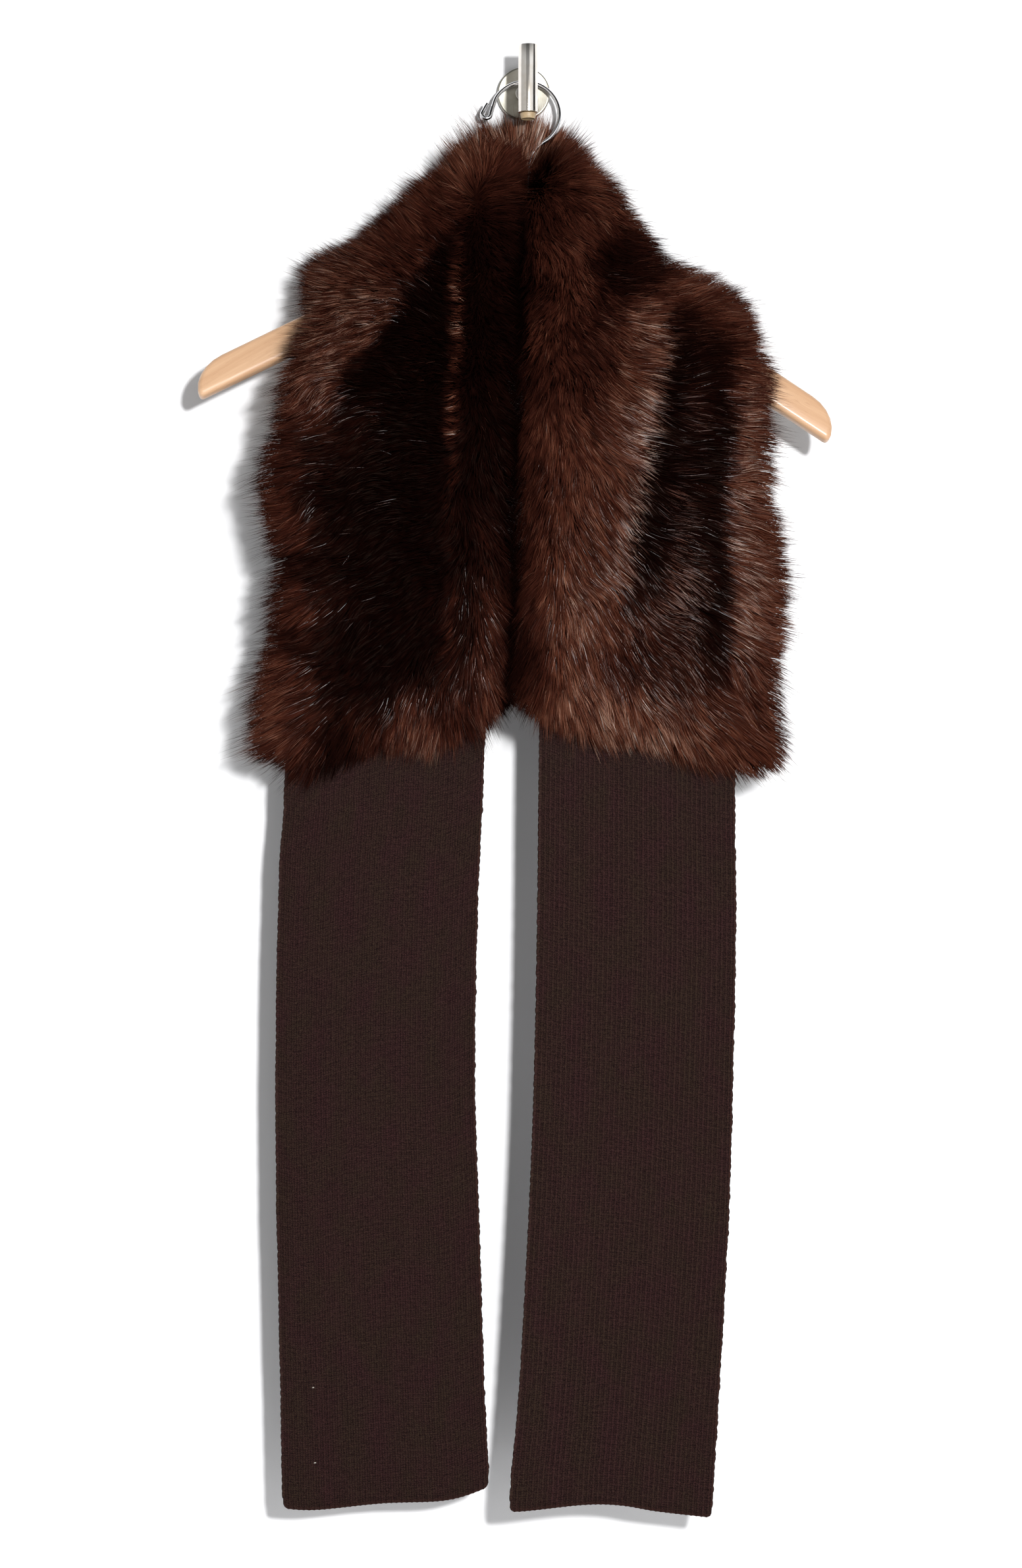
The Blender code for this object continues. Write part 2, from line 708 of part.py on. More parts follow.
def build():
    clear_scene()
    nickel = material("nickel", (0.62, 0.60, 0.57), 0.28, 1.0)
    tip = material("pale_plastic", (0.72, 0.60, 0.45), 0.5, 0.0)
    chrome = material("chrome_wire", (0.75, 0.75, 0.77), 0.12, 1.0)
    beech = material("beech", (0.72, 0.50, 0.31), 0.45, 0.0)
    fur_left = material("fur_dark", (0.035, 0.014, 0.010), 0.8, 0.0)
    fur_right = material("fur_brown", (0.060, 0.024, 0.014), 0.8, 0.0)
    fur_neck = material("fur_neck", (0.055, 0.024, 0.015), 0.8, 0.0)
    knit = material("rib_knit", (0.030, 0.015, 0.013), 0.9, 0.0)

    wall_peg(nickel, tip)
    hanger(beech, chrome)
    neck_band("fur_neck_back", fur_neck)
    left_outline = (
        LEFT_RIDGE,
        LEFT_SEAT_SPAN,
        LEFT_HEM,
        LEFT_OUTER_UPPER,
        LEFT_OUTER_LOWER,
        LEFT_INNER_UPPER,
        LEFT_INNER_LOWER,
    )
    right_outline = (
        RIGHT_RIDGE,
        RIGHT_SEAT_SPAN,
        RIGHT_HEM,
        RIGHT_OUTER_UPPER,
        RIGHT_OUTER_LOWER,
        RIGHT_INNER_UPPER,
        RIGHT_INNER_LOWER,
    )
    left_hem = front_stretch("fur_front_left", left_outline, 1, LEFT_VALLEYS, fur_left)
    right_hem = front_stretch("fur_front_right", right_outline, 2, RIGHT_VALLEYS, fur_right)
    knit_tail(
        "knit_tail_left",
        left_hem,
        LEFT_KNIT_TOP,
        LEFT_KNIT_SIDE,
        LEFT_KNIT_INNER,
        LEFT_KNIT_FOOT,
        LEFT_KNIT_DEPTHS,
        LEFT_KNIT_TURN,
        knit,
    )
    knit_tail(
        "knit_tail_right",
        right_hem,
        RIGHT_KNIT_TOP,
        RIGHT_KNIT_SIDE,
        RIGHT_KNIT_INNER,
        RIGHT_KNIT_FOOT,
        RIGHT_KNIT_DEPTHS,
        RIGHT_KNIT_TURN,
        knit,
    )


build()
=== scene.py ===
"""The looks of a faux-fur collar wrap with two ribbed knit tails, on a wooden hanger and a wall peg.

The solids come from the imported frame, in metres, with X to the right, Y into the wall and Z up.
The hanger's wood keeps its solid's form. The peg and the wire hook are modelled anew at their
solids' sizes. Each stretch of fur is a thin backing inside its solid, and hair grows from the
backing out to the solid's surface. Each knit tail is a ribbed sheet in its solid's place.
Sizes in the classes are millimetres unless they say otherwise, and MM turns them into metres.
"""

from __future__ import annotations

import json
import logging
import math
from dataclasses import dataclass
from enum import Enum

import bmesh
import bpy
import numpy as np
from bpy.types import Material, Mesh, Node, NodeSocket, NodeTree, Object, World
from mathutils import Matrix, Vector
from mathutils.bvhtree import BVHTree
from mathutils.kdtree import KDTree

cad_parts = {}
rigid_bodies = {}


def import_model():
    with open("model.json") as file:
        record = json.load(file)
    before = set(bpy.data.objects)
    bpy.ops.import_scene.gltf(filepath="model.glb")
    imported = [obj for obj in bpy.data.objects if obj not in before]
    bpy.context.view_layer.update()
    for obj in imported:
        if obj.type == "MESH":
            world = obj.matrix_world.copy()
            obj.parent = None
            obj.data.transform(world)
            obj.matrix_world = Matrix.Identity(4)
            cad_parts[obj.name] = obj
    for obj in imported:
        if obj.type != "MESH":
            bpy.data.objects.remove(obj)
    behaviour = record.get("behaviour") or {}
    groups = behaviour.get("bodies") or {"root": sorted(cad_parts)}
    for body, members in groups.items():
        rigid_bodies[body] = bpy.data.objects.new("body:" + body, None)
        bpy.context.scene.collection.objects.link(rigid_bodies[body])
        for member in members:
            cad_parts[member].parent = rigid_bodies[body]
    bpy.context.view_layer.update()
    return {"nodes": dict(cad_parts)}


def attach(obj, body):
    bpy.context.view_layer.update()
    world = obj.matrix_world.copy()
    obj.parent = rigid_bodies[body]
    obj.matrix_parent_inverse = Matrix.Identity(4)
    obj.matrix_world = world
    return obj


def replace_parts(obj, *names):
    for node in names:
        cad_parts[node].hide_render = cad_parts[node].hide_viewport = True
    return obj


MM = 0.001
STRAND_MAP = "OFBake"
TONE_NOTE = "tone"
RIBS = 40
Colour = tuple[float, float, float]
log = logging.getLogger("collar_wrap")


# ---------------------------------------------------------------- shader building


class Value:
    """A number in a node tree. Python's operators on it add Math nodes."""

    def __init__(self, graph: Graph, socket: NodeSocket) -> None:
        """Wraps one output socket.

        Args:
            graph: the graph that the socket belongs to.
            socket: the output that holds the number.
        """
        self.graph = graph
        self.socket = socket

    def math(self, operation: str, *others: Value | float, swap: bool = False) -> Value:
        """Adds one Math node.

        Args:
            operation: the Math node's operation.
            others: the further inputs, as values or numbers.
            swap: whether this value comes second.

        Returns:
            The node's result.
        """
        inputs = [self, *others]
        if swap:
            inputs.reverse()
        made = self.graph.node("ShaderNodeMath", {"operation": operation}, dict(enumerate(inputs)))
        return Value(self.graph, made.outputs[0])

    def __add__(self, other: Value | float) -> Value:
        """This plus other."""
        return self.math("ADD", other)

    __radd__ = __add__

    def __sub__(self, other: Value | float) -> Value:
        """This minus other."""
        return self.math("SUBTRACT", other)

    def __rsub__(self, other: float) -> Value:
        """Other minus this."""
        return self.math("SUBTRACT", other, swap=True)

    def __mul__(self, other: Value | float) -> Value:
        """This times other."""
        return self.math("MULTIPLY", other)

    __rmul__ = __mul__

    def __pow__(self, other: float) -> Value:
        """This to a power."""
        return self.math("POWER", other)

    def wave(self) -> Value:
        """A wave from 0 to 1 that repeats at each whole number."""
        return (self * math.tau).math("SINE") * 0.5 + 0.5

    def size(self) -> Value:
        """The number without its sign."""
        return self.math("ABSOLUTE")

    def part(self) -> Value:
        """What follows the decimal point."""
        return self.math("FRACT")

    def held(self) -> Value:
        """The number held between 0 and 1."""
        return self.math("MAXIMUM", 0.0).math("MINIMUM", 1.0)

    def between(self, low: float, high: float) -> Value:
        """0 at low, 1 at high and straight between them."""
        return ((self - low) * (1.0 / (high - low))).held()


class Graph:
    """A node tree and the few ways in which nodes are added to it."""

    def __init__(self, tree: NodeTree) -> None:
        """Takes the tree.

        Args:
            tree: the node tree.
        """
        self.tree = tree

    def node(self, kind: str, settings: dict | None = None, inputs: dict | None = None) -> Node:
        """Adds a node, sets it up and fills its inputs.

        Args:
            kind: the node's type.
            settings: its attributes. "stops" are a ramp's places and colours.
            inputs: numbers, colours, sockets or Values, by the input's name or number.

        Returns:
            The node.
        """
        made = self.tree.nodes.new(kind)
        for name, setting in (settings or {}).items():
            if name == "stops":
                self.set_stops(made, setting)
            else:
                setattr(made, name, setting)
        for name, given in (inputs or {}).items():
            if isinstance(given, Value):
                given = given.socket
            if isinstance(given, NodeSocket):
                self.tree.links.new(given, made.inputs[name])
            else:
                made.inputs[name].default_value = given
        return made

    @staticmethod
    def set_stops(ramp: Node, stops: tuple[tuple[float, Colour], ...]) -> None:
        """Gives a colour ramp its stops.

        Args:
            ramp: the ramp node.
            stops: each stop's place and colour.
        """
        elements = ramp.color_ramp.elements
        while len(elements) < len(stops):
            elements.new(1.0)
        for element, (place, colour) in zip(elements, stops):
            element.position = place
            element.color = (*colour, 1.0)

    def place(self) -> tuple[NodeSocket, Value, Value, Value]:
        """The object's own coordinates.

        Returns:
            The place as a vector, and its three numbers.
        """
        source = self.node("ShaderNodeTexCoord").outputs["Object"]
        parts = self.node("ShaderNodeSeparateXYZ", inputs={0: source}).outputs
        return source, *(Value(self, parts[i]) for i in range(3))

    def own_map(self) -> tuple[Value, Value]:
        """The piece's own UV map.

        Returns:
            The map's two numbers.
        """
        source = self.node("ShaderNodeUVMap", {"uv_map": STRAND_MAP}).outputs["UV"]
        parts = self.node("ShaderNodeSeparateXYZ", inputs={0: source}).outputs
        return Value(self, parts[0]), Value(self, parts[1])

    def vector(self, x: Value | float, y: Value | float, z: Value | float = 0.0) -> NodeSocket:
        """Three numbers as one vector."""
        return self.node("ShaderNodeCombineXYZ", inputs={0: x, 1: y, 2: z}).outputs[0]

    def noise(self, vector: NodeSocket, scale: float, detail: float = 3.0, rough: float = 0.5) -> Value:
        """Smooth noise about 0.5.

        Args:
            vector: where it is read.
            scale: how fine it is, in waves for each unit.
            detail: its number of finer layers.
            rough: how strong the finer layers are.

        Returns:
            The noise.
        """
        inputs = {"Vector": vector, "Scale": scale, "Detail": detail, "Roughness": rough}
        return Value(self, self.node("ShaderNodeTexNoise", inputs=inputs).outputs[0])

    def ramp(self, factor: Value, stops: tuple[tuple[float, Colour], ...]) -> NodeSocket:
        """A colour read from stops."""
        return self.node("ShaderNodeValToRGB", {"stops": stops}, {0: factor}).outputs[0]

    def mix(self, factor: Value | float, first: NodeSocket | Colour,
            second: NodeSocket | Colour) -> NodeSocket:
        """Mixes two colours.

        Args:
            factor: the share of the second.
            first: the first colour.
            second: the second colour.

        Returns:
            The mixed colour.
        """
        ends = [c if isinstance(c, NodeSocket) else (*c, 1.0) for c in (first, second)]
        inputs = {0: factor, 6: ends[0], 7: ends[1]}
        return self.node("ShaderNodeMix", {"data_type": "RGBA"}, inputs).outputs[2]

    def bump(self, height: Value, distance: float) -> NodeSocket:
        """A relief of the surface, from a height of 0 to 1 and a distance in metres."""
        inputs = {"Height": height, "Distance": distance, "Strength": 1.0}
        return self.node("ShaderNodeBump", inputs=inputs).outputs[0]


class MaterialGraph(Graph):
    """The node tree of a new material."""

    def __init__(self, name: str) -> None:
        """Starts an empty material.

        Args:
            name: the material's name.
        """
        self.material = bpy.data.materials.new(name)
        self.material.use_nodes = True
        super().__init__(self.material.node_tree)
        self.tree.nodes.clear()
        self.output = self.node("ShaderNodeOutputMaterial")

    def close(self, shader: Node) -> Material:
        """Closes the graph with a shader and gives the material."""
        self.tree.links.new(shader.outputs[0], self.output.inputs[0])
        return self.material

    def finish(self, **inputs: object) -> Material:
        """Closes the graph with one Principled shader.

        Args:
            inputs: the shader's inputs, with underscores for the spaces in their names.

        Returns:
            The material.
        """
        named = {name.replace("_", " "): given for name, given in inputs.items()}
        return self.close(self.node("ShaderNodeBsdfPrincipled", inputs=named))


# ---------------------------------------------------------------- finishes


FUR_TONES: tuple[tuple[float, Colour], ...] = (
    (0.00, (0.0026, 0.0007, 0.0005)),
    (0.20, (0.0110, 0.0030, 0.0020)),
    (0.40, (0.0380, 0.0098, 0.0058)),
    (0.55, (0.0800, 0.0248, 0.0138)),
    (0.70, (0.1550, 0.0610, 0.0365)),
    (0.85, (0.3500, 0.2100, 0.1500)),
    (1.00, (0.6200, 0.5600, 0.5200)),
)


@dataclass(frozen=True)
class FurFinish:
    """Dyed faux mink. The strand map gives a hair's tone across it and its length up it."""

    name: str
    roughness: float
    specular: float
    gloss: Colour
    root_shade: float
    root_end: float
    # The root colour is what each hair darkens to near its root: partly the fur's own darker roots,
    # partly painted shade deep in the coat.
    root: Colour = (0.003, 0.001, 0.0008)

    def material(self) -> Material:
        """Makes the hair's material.

        Returns:
            The material.
        """
        graph = MaterialGraph(self.name)
        tone, run = graph.own_map()
        dyed = graph.ramp(tone, FUR_TONES)
        # Painted shade with the real dark roots: each hair is mixed towards the root colour at its root
        # and reaches its full tone at the root end.
        share = run.between(0.0, self.root_end) * (1.0 - self.root_shade) + self.root_shade
        colour = graph.mix(share, self.root, dyed)
        return graph.finish(
            Base_Color=colour, Roughness=self.roughness,
            Specular_IOR_Level=self.specular, Specular_Tint=(*self.gloss, 1.0),
        )


@dataclass(frozen=True)
class BackingFinish:
    """The fur's backing with its shortest down, in the coat's own tones mixed most of the way to near
    black, as painted shade under the pile.
    """

    name: str = "fur_backing"
    shade: float = 0.35
    pile_shade_colour: Colour = (0.002, 0.0007, 0.0005)

    def material(self) -> Material:
        """Makes the backing's material.

        Returns:
            The material.
        """
        graph = MaterialGraph(self.name)
        place, *_ = graph.place()
        noted = graph.node("ShaderNodeAttribute", {"attribute_name": TONE_NOTE}).outputs["Fac"]
        down = graph.noise(place, 700.0, 4.0, 0.7)
        dyed = graph.ramp(Value(graph, noted) + (down - 0.5) * 0.25, FUR_TONES)
        # Painted shade: the backing keeps only the shade's share of its tone, and the rest is the near
        # black of the shade under the pile.
        colour = graph.mix(self.shade, self.pile_shade_colour, dyed)
        relief = graph.bump(down, 0.001)
        return graph.finish(
            Base_Color=colour, Roughness=0.95, Specular_IOR_Level=0.0, Normal=relief,
        )


@dataclass(frozen=True)
class Mottle:
    """Noise over a cloth. Its fineness across and down is in waves for each millimetre."""

    across: float
    down: float
    detail: float
    rough: float = 0.5

    def over(self, graph: Graph, cloth: tuple[Value, Value]) -> Value:
        """The noise at each place of the cloth, about 0.5."""
        place = graph.vector(cloth[0] * self.across, cloth[1] * self.down)
        return graph.noise(place, 1.0, self.detail, self.rough)


@dataclass(frozen=True)
class KnitFinish:
    """Fine one-by-one rib knit. The strand map runs across the tail and down it.

    Specks are bits of pale fluff, each at a place in millimetres across the cloth and down it.
    """

    name: str = "rib_knit"
    width: float = 143.0
    height: float = 533.0
    courses: int = 340
    colour: Colour = (0.0370, 0.0150, 0.0150)
    olive: Colour = (0.0325, 0.0185, 0.0130)
    # shade is the colour of the painted shade in the stitch and rib valleys.
    shade: Colour = (0.0060, 0.0026, 0.0024)
    edge: Colour = (0.0440, 0.0190, 0.0150)
    fluff: Colour = (0.46, 0.43, 0.38)
    # rib_light is the strength of the painted light on the rib crests.
    rib_light: float = 0.16
    drift: Mottle = Mottle(0.30, 0.30, 2.0)
    fuzz: Mottle = Mottle(2.3, 2.3, 3.0, 0.8)
    grain: Mottle = Mottle(0.55, 0.42, 3.0, 0.7)
    streak: Mottle = Mottle(0.35, 0.012, 3.0)
    cloud: Mottle = Mottle(0.05, 0.03, 4.0)
    row: Mottle = Mottle(0.09, 0.75, 2.0)
    specks: tuple[tuple[float, float], ...] = ()

    def material(self) -> Material:
        """Makes the knit's material.

        Returns:
            The material.
        """
        graph = MaterialGraph(self.name)
        across, down = graph.own_map()
        cloth = (across * self.width, down * self.height)
        noises = (self.drift, self.fuzz, self.grain, self.streak, self.cloud, self.row)
        drift, fuzz, grain, streak, cloud, row = (noise.over(graph, cloth) for noise in noises)
        yarn = graph.noise(graph.vector(*cloth), 1.1, 4.0, 0.7)
        rib = across * RIBS + (drift - 0.5) * 0.35
        leg = (rib * 2.0).part() - 0.5
        slant = leg.size() * 0.9
        course = (down * self.courses + slant + (drift - 0.5) * 2.2).wave()
        furrow = (rib * 2.0 + 0.75).wave()
        stitch = (course * 0.65 + 0.35) * (furrow * 0.65 + 0.35)
        # The light is painted shade in the stitch and rib valleys and painted light on the rib crests,
        # with the yarn's own tone noise added; the colour runs from the shade colour to the dyed one by
        # it.
        light = stitch * 1.1 + (rib.wave() - 0.5) * self.rib_light + (streak - 0.5) * 0.2
        light = light + (yarn - 0.5) * 2.6 + (fuzz - 0.5) * 2.6
        light = light + (grain - 0.5) * 1.3 + (row - 0.5) * 0.7
        dyed = graph.mix((grain * 1.5 + cloud * 3.0 - 1.75).held(), self.colour, self.olive)
        colour = graph.mix((light - 0.01).held(), self.shade, dyed)
        border = (across - 0.5).size().between(0.4925, 0.4985)
        hem = down.between(0.9945, 0.9985)
        colour = graph.mix(border.math("MAXIMUM", hem) * 0.6, colour, self.edge)
        for x, z in self.specks:
            gap = ((cloth[0] - x) ** 2 + ((cloth[1] - z) * 2.0) ** 2) ** 0.5
            colour = graph.mix(1.0 - gap.between(0.4, 1.0), colour, self.fluff)
        relief = graph.bump(stitch + yarn * 0.7 + fuzz * 0.3, 0.0006)
        return graph.finish(
            Base_Color=colour, Roughness=0.9, Specular_IOR_Level=0.06, Normal=relief,
        )


@dataclass(frozen=True)
class BeechFinish:
    """Clear-varnished beech whose grain runs along each arm of the hanger."""

    name: str = "varnished_beech"
    slope: float = math.radians(31.3)
    pale: Colour = (0.590, 0.375, 0.228)
    warm: Colour = (0.465, 0.264, 0.143)
    fleck: Colour = (0.36, 0.18, 0.09)

    def material(self) -> Material:
        """Makes the wood's material.

        Returns:
            The material.
        """
        graph = MaterialGraph(self.name)
        _, across, depth, up = graph.place()
        side = across.size()
        along = side * math.cos(self.slope) - up * math.sin(self.slope)
        over = side * math.sin(self.slope) + up * math.cos(self.slope)
        sway = graph.noise(graph.vector(along * 6.0, over * 20.0, depth * 20.0), 1.0) * 0.006
        layer = graph.vector(along * 2.5, (over + sway) * 170.0, depth * 60.0)
        rings = graph.noise(layer, 1.0, 5.0, 0.6)
        pores = graph.noise(graph.vector(along * 90.0, over * 1500.0, depth * 900.0), 1.0, 2.0)
        grain = rings.between(0.34, 0.68)
        colour = graph.mix(grain, self.pale, self.warm)
        colour = graph.mix(pores.between(0.62, 0.78) * 0.45, colour, self.fleck)
        relief = graph.bump(grain * 0.4 + pores * 0.6, 0.00008)
        return graph.finish(
            Base_Color=colour, Roughness=grain * 0.12 + 0.36, Normal=relief,
            Coat_Weight=0.25, Coat_Roughness=0.25,
        )


class Grain(Enum):
    """The way in which a metal's fine scratches run."""

    POLISHED = "polished"
    UPRIGHT = "upright"
    ROUND = "round"


@dataclass(frozen=True)
class MetalFinish:
    """Plated steel with a fine grain."""

    name: str
    colour: Colour
    tarnish: Colour
    roughness: float
    grain: Grain

    def material(self) -> Material:
        """Makes the metal's material.

        Returns:
            The material.
        """
        graph = MaterialGraph(self.name)
        place, across, depth, up = graph.place()
        scratched = {
            Grain.POLISHED: place,
            Grain.UPRIGHT: graph.vector(across * 9.0, depth * 9.0, up * 0.35),
            Grain.ROUND: graph.vector((across * across + up * up) ** 0.5 * 12.0, depth * 9.0),
        }[self.grain]
        scratch = graph.noise(scratched, 420.0, 3.0, 0.7)
        cloud = graph.noise(place, 90.0, 3.0)
        colour = graph.mix(cloud.between(0.35, 0.75), self.colour, self.tarnish)
        rough = scratch * 0.10 + cloud * 0.06 + (self.roughness - 0.08)
        relief = graph.bump(scratch, 0.000012)
        return graph.finish(Base_Color=colour, Metallic=1.0, Roughness=rough, Normal=relief)


@dataclass(frozen=True)
class PlugFinish:
    """Pale moulded plastic with a faint mottle."""

    name: str = "pale_plastic"
    colour: Colour = (0.37, 0.27, 0.155)
    darker: Colour = (0.25, 0.175, 0.095)

    def material(self) -> Material:
        """Makes the plastic's material.

        Returns:
            The material.
        """
        graph = MaterialGraph(self.name)
        place, *_ = graph.place()
        mottle = graph.noise(place, 350.0, 4.0)
        colour = graph.mix(mottle.between(0.4, 0.75), self.colour, self.darker)
        return graph.finish(
            Base_Color=colour, Roughness=mottle * 0.2 + 0.4, Normal=graph.bump(mottle, 0.00006),
        )


@dataclass(frozen=True)
class BackdropFinish:
    """Matt white paint that is clear from behind, so the wall hides nothing."""

    name: str
    colour: Colour

    def material(self) -> Material:
        """Makes the backdrop's material.

        Returns:
            The material.
        """
        graph = MaterialGraph(self.name)
        paint = graph.node("ShaderNodeBsdfDiffuse", inputs={"Color": (*self.colour, 1.0)})
        clear = graph.node("ShaderNodeBsdfTransparent")
        behind = graph.node("ShaderNodeNewGeometry").outputs["Backfacing"]
        inputs = {0: behind, 1: paint.outputs[0], 2: clear.outputs[0]}
        return graph.close(graph.node("ShaderNodeMixShader", inputs=inputs))


# ---------------------------------------------------------------- helpers for meshes


def deselect_all() -> None:
    """Clears the selection."""
    for thing in bpy.context.selected_objects:
        thing.select_set(False)


def make_active(thing: Object) -> None:
    """Selects one object alone and makes it active.

    Args:
        thing: the object.
    """
    deselect_all()
    thing.select_set(True)
    bpy.context.view_layer.objects.active = thing


def apply_modifiers(thing: Object) -> None:
    """Applies every modifier of an object, in order.

    Args:
        thing: the object.
    """
    make_active(thing)
    for modifier in list(thing.modifiers):
        bpy.ops.object.modifier_apply(modifier=modifier.name)


def settle(thing: Object) -> None:
    """Puts an object's place and turn into its mesh."""
    make_active(thing)
    bpy.ops.object.transform_apply(location=True, rotation=True, scale=True)


def dress(thing: Object, name: str, finish: Material) -> Object:
    """Names a piece and gives it its finish and its body.

    Args:
        thing: the piece.
        name: its name.
        finish: its material.

    Returns:
        The piece.
    """
    thing.name = name
    thing.data.name = name
    thing.data.materials.clear()
    thing.data.materials.append(finish)
    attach(thing, "root")
    log.info("%s: %d faces", name, len(thing.data.polygons))
    return thing


def new_mesh_object(name: str, mesh: Mesh) -> Object:
    """Links a new object for a mesh.

    Args:
        name: the object's name.
        mesh: its mesh.

    Returns:
        The object, at the origin.
    """
    thing = bpy.data.objects.new(name, mesh)
    bpy.context.scene.collection.objects.link(thing)
    return thing


def thicken(sheet: Object, thickness: float) -> None:
    """Gives an open sheet its thickness, on the side that its faces turn away from.

    Args:
        sheet: the sheet.
        thickness: its thickness, in millimetres.
    """
    wall = sheet.modifiers.new("wall", "SOLIDIFY")
    wall.thickness = thickness * MM
    wall.offset = -1.0
    apply_modifiers(sheet)


def charted_mesh(name: str, points: np.ndarray, faces: list, places: np.ndarray) -> Mesh:
    """A smooth mesh with a strand map.

    Args:
        name: its name.
        points: its vertices, in metres.
        faces: the vertices of each face.
        places: each vertex's place in the map.

    Returns:
        The mesh.
    """
    mesh = bpy.data.meshes.new(name)
    mesh.from_pydata(points.tolist(), [], faces)
    chart = mesh.uv_layers.new(name=STRAND_MAP)
    corners = np.zeros(len(mesh.loops), int)
    mesh.loops.foreach_get("vertex_index", corners)
    chart.uv.foreach_set("vector", places[corners].astype(np.float32).ravel())
    mesh.shade_smooth()
    return mesh


def merged_copy(node: Object, name: str) -> Object:
    """A copy of a solid node with its loose triangles joined.

    Args:
        node: the solid.
        name: the copy's name.

    Returns:
        The copy, at the origin.
    """
    mesh = node.data.copy()
    mesh.materials.clear()
    shape = bmesh.new()
    shape.from_mesh(mesh)
    bmesh.ops.remove_doubles(shape, verts=shape.verts, dist=0.00001)
    bmesh.ops.dissolve_limit(
        shape, angle_limit=math.radians(0.5), verts=shape.verts, edges=shape.edges
    )
    shape.to_mesh(mesh)
    shape.free()
    return new_mesh_object(name, mesh)


def unit(vectors: np.ndarray) -> np.ndarray:
    """Vectors of length 1."""
    return vectors / np.maximum(np.linalg.norm(vectors, axis=-1, keepdims=True), 1e-9)


def flattened(points: np.ndarray) -> np.ndarray:
    """The x and z of places in metres, in millimetres."""
    return points[:, [0, 2]] / MM


def spot(flat: np.ndarray, x: float, z: float, reach: float) -> np.ndarray:
    """A round spot that fades from 1 at its middle.

    Args:
        flat: the x and z of the places, in millimetres.
        x: the middle's x.
        z: the middle's z.
        reach: how far it goes.

    Returns:
        The spot's strength at each place.
    """
    return np.exp(-((flat - (x, z)) ** 2).sum(1) / reach ** 2)


class NodeForm:
    """Reads a solid node's edges and faces at a place."""

    def __init__(self, node: Object) -> None:
        """Takes the node's triangles.

        Args:
            node: the solid.
        """
        mesh = node.data
        mesh.calc_loop_triangles()
        self.points = np.array([v.co for v in mesh.vertices], float)
        self.triangles = np.array([t.vertices for t in mesh.loop_triangles], int)
        self.tree = BVHTree.FromPolygons(self.points.tolist(), self.triangles.tolist())
        self.low = self.points.min(0)
        self.high = self.points.max(0)

    def span(self, level: float, cut: int, along: int) -> tuple[float, float]:
        """How far the solid reaches along one axis where a level cuts it.

        Args:
            level: the level, in metres.
            cut: the axis that the level is on.
            along: the axis that is measured.

        Returns:
            The lowest and the highest place.
        """
        corners = self.points[self.triangles]
        found = []
        for i in range(3):
            start, end = corners[:, i], corners[:, (i + 1) % 3]
            rise = end[:, cut] - start[:, cut]
            crossing = (start[:, cut] - level) * (end[:, cut] - level) < 0
            share = (level - start[crossing, cut]) / rise[crossing]
            found.append(start[crossing, along] + share * (end - start)[crossing, along])
        reached = np.concatenate(found)
        return float(reached.min()), float(reached.max())

    def back(self, x: float, z: float) -> float:
        """The depth of the face towards the wall at a place, or of the nearest point of it.

        Args:
            x: the place's x, in metres.
            z: its height.

        Returns:
            The depth.
        """
        hit = self.tree.ray_cast(Vector((x, 1.0, z)), Vector((0, -1, 0)))[0]
        if hit is None:
            hit = self.tree.find_nearest(Vector((x, self.high[1], z)))[0]
        return hit.y


def wander(points: np.ndarray, pitch: float, seed: int, waves: int = 7) -> np.ndarray:
    """Smooth noise from about -1 to 1, as the sum of a few long waves.

    Args:
        points: places, in metres.
        pitch: the usual distance between its crests, in metres.
        seed: which noise.
        waves: the number of waves.

    Returns:
        One number for each place.
    """
    rng = np.random.default_rng(seed)
    total = np.zeros(len(points))
    for _ in range(waves):
        way = unit(rng.normal(size=3)) * math.tau / (pitch * rng.uniform(0.7, 1.5))
        total += np.sin(points @ way + rng.uniform(0, math.tau))
    return total / math.sqrt(waves)


def streaks(points: np.ndarray, way: np.ndarray, pitch: float, reach: float, seed: int) -> np.ndarray:
    """Noise drawn out into streaks along a way.

    Args:
        points: places, in metres.
        way: the way of the streak at each place.
        pitch: the streaks' usual distance, in metres.
        reach: half of a streak's length, in metres.
        seed: which noise.

    Returns:
        One number for each place, from about -1 to 1.
    """
    steps = np.linspace(-1, 1, 7)
    drawn = sum(wander(points + way * (reach * step), pitch, seed, 18) for step in steps)
    return drawn / drawn.std()


@dataclass(frozen=True)
class Drift:
    """A smooth unevenness: its strength, and the distance between its crests in metres."""

    strength: float
    pitch: float

    def over(self, points: np.ndarray, seed: int) -> np.ndarray:
        """The unevenness at some places."""
        return self.strength * wander(points, self.pitch, seed)


# ---------------------------------------------------------------- the wall peg


